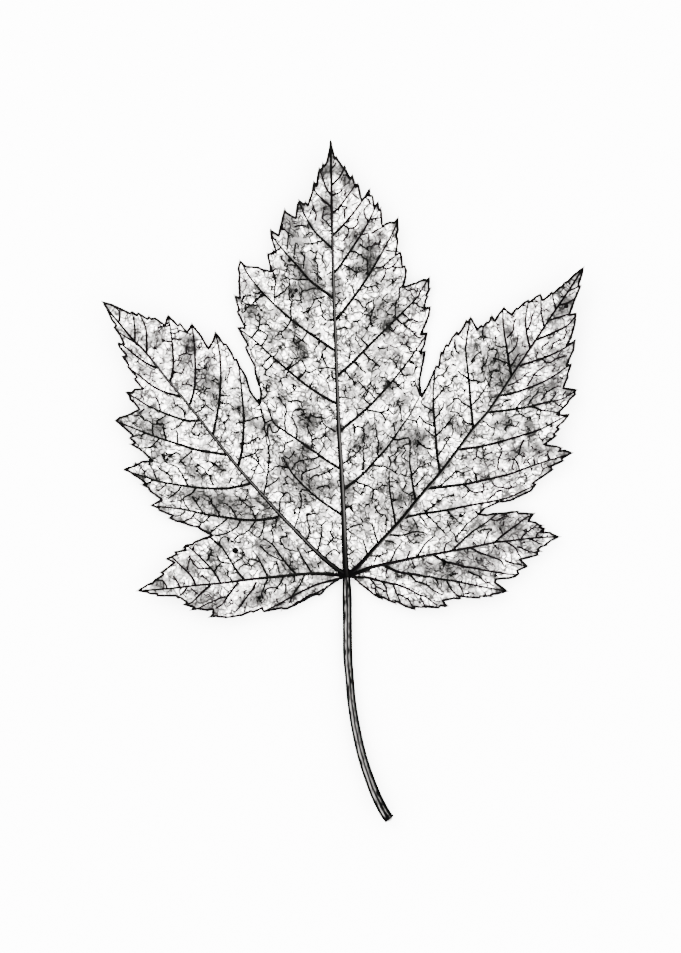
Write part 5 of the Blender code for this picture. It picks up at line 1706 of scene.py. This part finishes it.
# %% The stalk
STALK_RADIUS = 0.0015
STALK = [
    (-2.3, 16, 1.3, 0.34), (-1.6, 7, 1.36, 0.78), (-1, -4, 1.42, 1.0),
    (-0.5, -20, 1.46, 0.96), (-0.1, -50, 1.5, 0.96), (0.2, -80, 1.56, 0.98),
    (1.8, -100, 1.62, 0.92), (3.4, -120, 1.7, 0.92), (6, -140, 1.8, 0.93),
    (9.7, -160, 1.92, 0.96), (14.3, -180, 2.06, 0.98), (21, -201, 2.22, 1.0),
    (28.8, -221, 2.4, 1.04), (37.3, -237.5, 2.56, 1.08), (42.2, -244, 2.64, 1.08),
]
STALK_SIDES = 28
STALK_STEP = 3
INK_OVER = 1.1
GROOVE_DEPTH = 0.16
GROOVE_WIDTH = 0.5


def stalk_section():
    """A circle with a soft groove along its top, from the left side over the top."""
    corners = []
    for i in range(STALK_SIDES):
        turn = math.pi - math.tau * i / STALK_SIDES
        groove = GROOVE_DEPTH * math.exp(-(((turn - math.pi / 2) / GROOVE_WIDTH) ** 2))
        corners.append(((1 - groove) * math.cos(turn), (1 - groove) * math.sin(turn)))
    return corners


def stalk_rows():
    """Points along the stalk's middle, and its radius at each."""
    rows = smooth_line([row[:2] for row in STALK], STALK_STEP)
    along = np.linspace(0, 1, len(rows))
    marks = np.linspace(0, 1, len(STALK))
    heights = np.interp(along, marks, [row[2] for row in STALK]) * STALK_RADIUS
    radii = np.interp(along, marks, [row[3] for row in STALK]) * STALK_RADIUS * INK_OVER
    return np.column_stack([placed(rows), heights]), radii


# Around the stalk: painted shade on both sides and in the groove, and two pale bands of painted
# highlight between them.
STALK_SHADE = [
    (0.0, 0.0002), (0.157, 0.0003), (0.17, 0.02), (0.193, 0.055), (0.21, 0.03),
    (0.228, 0.0012), (0.264, 0.0012), (0.286, 0.035), (0.312, 0.1), (0.33, 0.06),
    (0.343, 0.0004), (0.5, 0.0002),
]
STALK_DARK = [
    (0.0, 1.0), (0.07, 1.0), (0.1, 0.85), (0.17, 0.7), (0.22, 0.25), (0.36, 0.25),
    (0.42, 0.55), (0.5, 0.5), (0.58, 0.25), (0.85, 0.25), (0.93, 0.75), (1.0, 1.0),
]
STREAK_STRETCH = (34, 20, 1)
STREAK_SHIFT = 0.05
STREAK_DEPTH = 6.5


def stalk_ink_and_painted_shade():
    """Painted shade on the sides and in the groove, two pale bands of painted highlight, and
    streaks along the stalk, darkest where it joins.
    """
    material, tree, shader = new_finish("stalk ink and painted shade", roughness=0.6)
    whole, along, around = uv_parts(tree)
    stretch = tree.nodes.new("ShaderNodeVectorMath")
    stretch.operation = "MULTIPLY"
    stretch.inputs[1].default_value = STREAK_STRETCH
    tree.links.new(whole, stretch.inputs[0])
    streaks = tree.nodes.new("ShaderNodeTexNoise")
    streaks.inputs["Scale"].default_value = 1.0
    streaks.inputs["Detail"].default_value = 4
    tree.links.new(stretch.outputs[0], streaks.inputs["Vector"])
    streak = math_node(tree, "SUBTRACT", streaks.outputs["Fac"], 0.5)
    shifted = math_node(tree, "MULTIPLY_ADD", streak, STREAK_SHIFT, around)
    ramp = ramp_node(tree, shifted, STALK_SHADE)
    dark = ramp_node(tree, along, STALK_DARK).outputs["Color"]
    share = math_node(tree, "MULTIPLY_ADD", streak, STREAK_DEPTH, dark)
    bump = bump_node(tree, streaks.outputs["Fac"], strength=0.5, distance=0.0002)
    colour = covered(tree, ramp.outputs["Color"], BLACK_INK, share)
    tree.links.new(colour, shader.inputs["Base Color"])
    tree.links.new(bump.outputs["Normal"], shader.inputs["Normal"])
    return material


stalk_points, stalk_radii = stalk_rows()
settle(tubes("stalk", [(stalk_points, stalk_radii, False)], stalk_section()), stalk_ink_and_painted_shade())

# %% [markdown]
# The end of the stalk was cut, and its paler pith shows as a sliver from above. It is a
# short cone that grows out of the end, because a flat end would be seen edge on.

# %% The cut end
PITH_SHARE = 0.8
PITH_DEPTH = 0.0007
PITH_SIDES = 20


def make_pith():
    """A low cone on the stalk's end, which stays inside the bark all round."""
    way = Vector(stalk_points[-1] - stalk_points[-2]).normalized()
    shape = bmesh.new()
    bmesh.ops.create_cone(
        shape, cap_ends=True, segments=PITH_SIDES, radius1=stalk_radii[-1] * PITH_SHARE,
        radius2=stalk_radii[-1] * PITH_SHARE / 3, depth=PITH_DEPTH,
    )
    turn = way.to_track_quat("Z", "Y").to_matrix()
    bmesh.ops.rotate(shape, cent=(0, 0, 0), matrix=turn, verts=list(shape.verts))
    place = Vector(stalk_points[-1]) + way * PITH_DEPTH / 4
    bmesh.ops.translate(shape, vec=place, verts=list(shape.verts))
    return finished("pith", shape)


settle(make_pith(), ink("pith", dark=0.02, light=0.3))

# %% [markdown]
# A pale table, soft light from all sides, and a camera with a long lens straight above,
# so that the leaf shows as flat as it is drawn.

# %% Table, light and camera
TABLE_SIZE = 6.0
TABLE_GAP = 0.0002
PHOTO_SIZE = (681, 953)
PHOTO_JUNCTION = (347, 574)
CAMERA_LENS = 200
SENSOR = 36
TABLE_WHITE = (0.93, 0.93, 0.93, 1)
ROOM_WHITE = (1, 1, 1, 1)
ROOM_LIGHT = 12.8
LIGHTS = [
    {"name": "key", "place": (-0.9, 0.9, 1.6), "size": 1.2, "power": 90},
    {"name": "fill", "place": (1.3, -0.6, 1.5), "size": 1.6, "power": 38},
]


def make_table():
    shape = bmesh.new()
    bmesh.ops.create_grid(shape, x_segments=1, y_segments=1, size=TABLE_SIZE / 2)
    bmesh.ops.translate(shape, vec=(0, 0, -TABLE_GAP), verts=list(shape.verts))
    table = finished("table", shape)
    material, _, shader = new_finish("table white", roughness=0.9)
    shader.inputs["Base Color"].default_value = TABLE_WHITE
    table.data.materials.append(material)


def add_light(name, place, size, power):
    data = bpy.data.lights.new(name, "AREA")
    data.size = size
    data.energy = power
    lamp = bpy.data.objects.new(name, data)
    lamp.location = place
    lamp.rotation_euler = (-Vector(place)).to_track_quat("-Z", "Y").to_euler()
    bpy.context.scene.collection.objects.link(lamp)


def add_camera():
    """Look straight down, with the photograph's middle in the middle of the view."""
    data = bpy.data.cameras.new("camera")
    data.lens = CAMERA_LENS
    data.sensor_width = SENSOR
    camera = bpy.data.objects.new("camera", data)
    middle = (
        PHOTO_SIZE[0] / 2 - PHOTO_JUNCTION[0] - 0.5,
        PHOTO_JUNCTION[1] + 0.5 - PHOTO_SIZE[1] / 2,
    )
    x, y = placed([middle])[0]
    height = PHOTO_SIZE[1] * UNIT * CAMERA_LENS / SENSOR
    camera.location = (x, y, height)
    bpy.context.scene.collection.objects.link(camera)
    bpy.context.scene.camera = camera


def light_room():
    """Even light from all around, which leaves no hard shadow."""
    world = bpy.data.worlds.new("room")
    world.use_nodes = True
    background = world.node_tree.nodes["Background"]
    background.inputs["Color"].default_value = ROOM_WHITE
    background.inputs["Strength"].default_value = ROOM_LIGHT
    bpy.context.scene.world = world


make_table()
for light in LIGHTS:
    add_light(**light)
light_room()
add_camera()
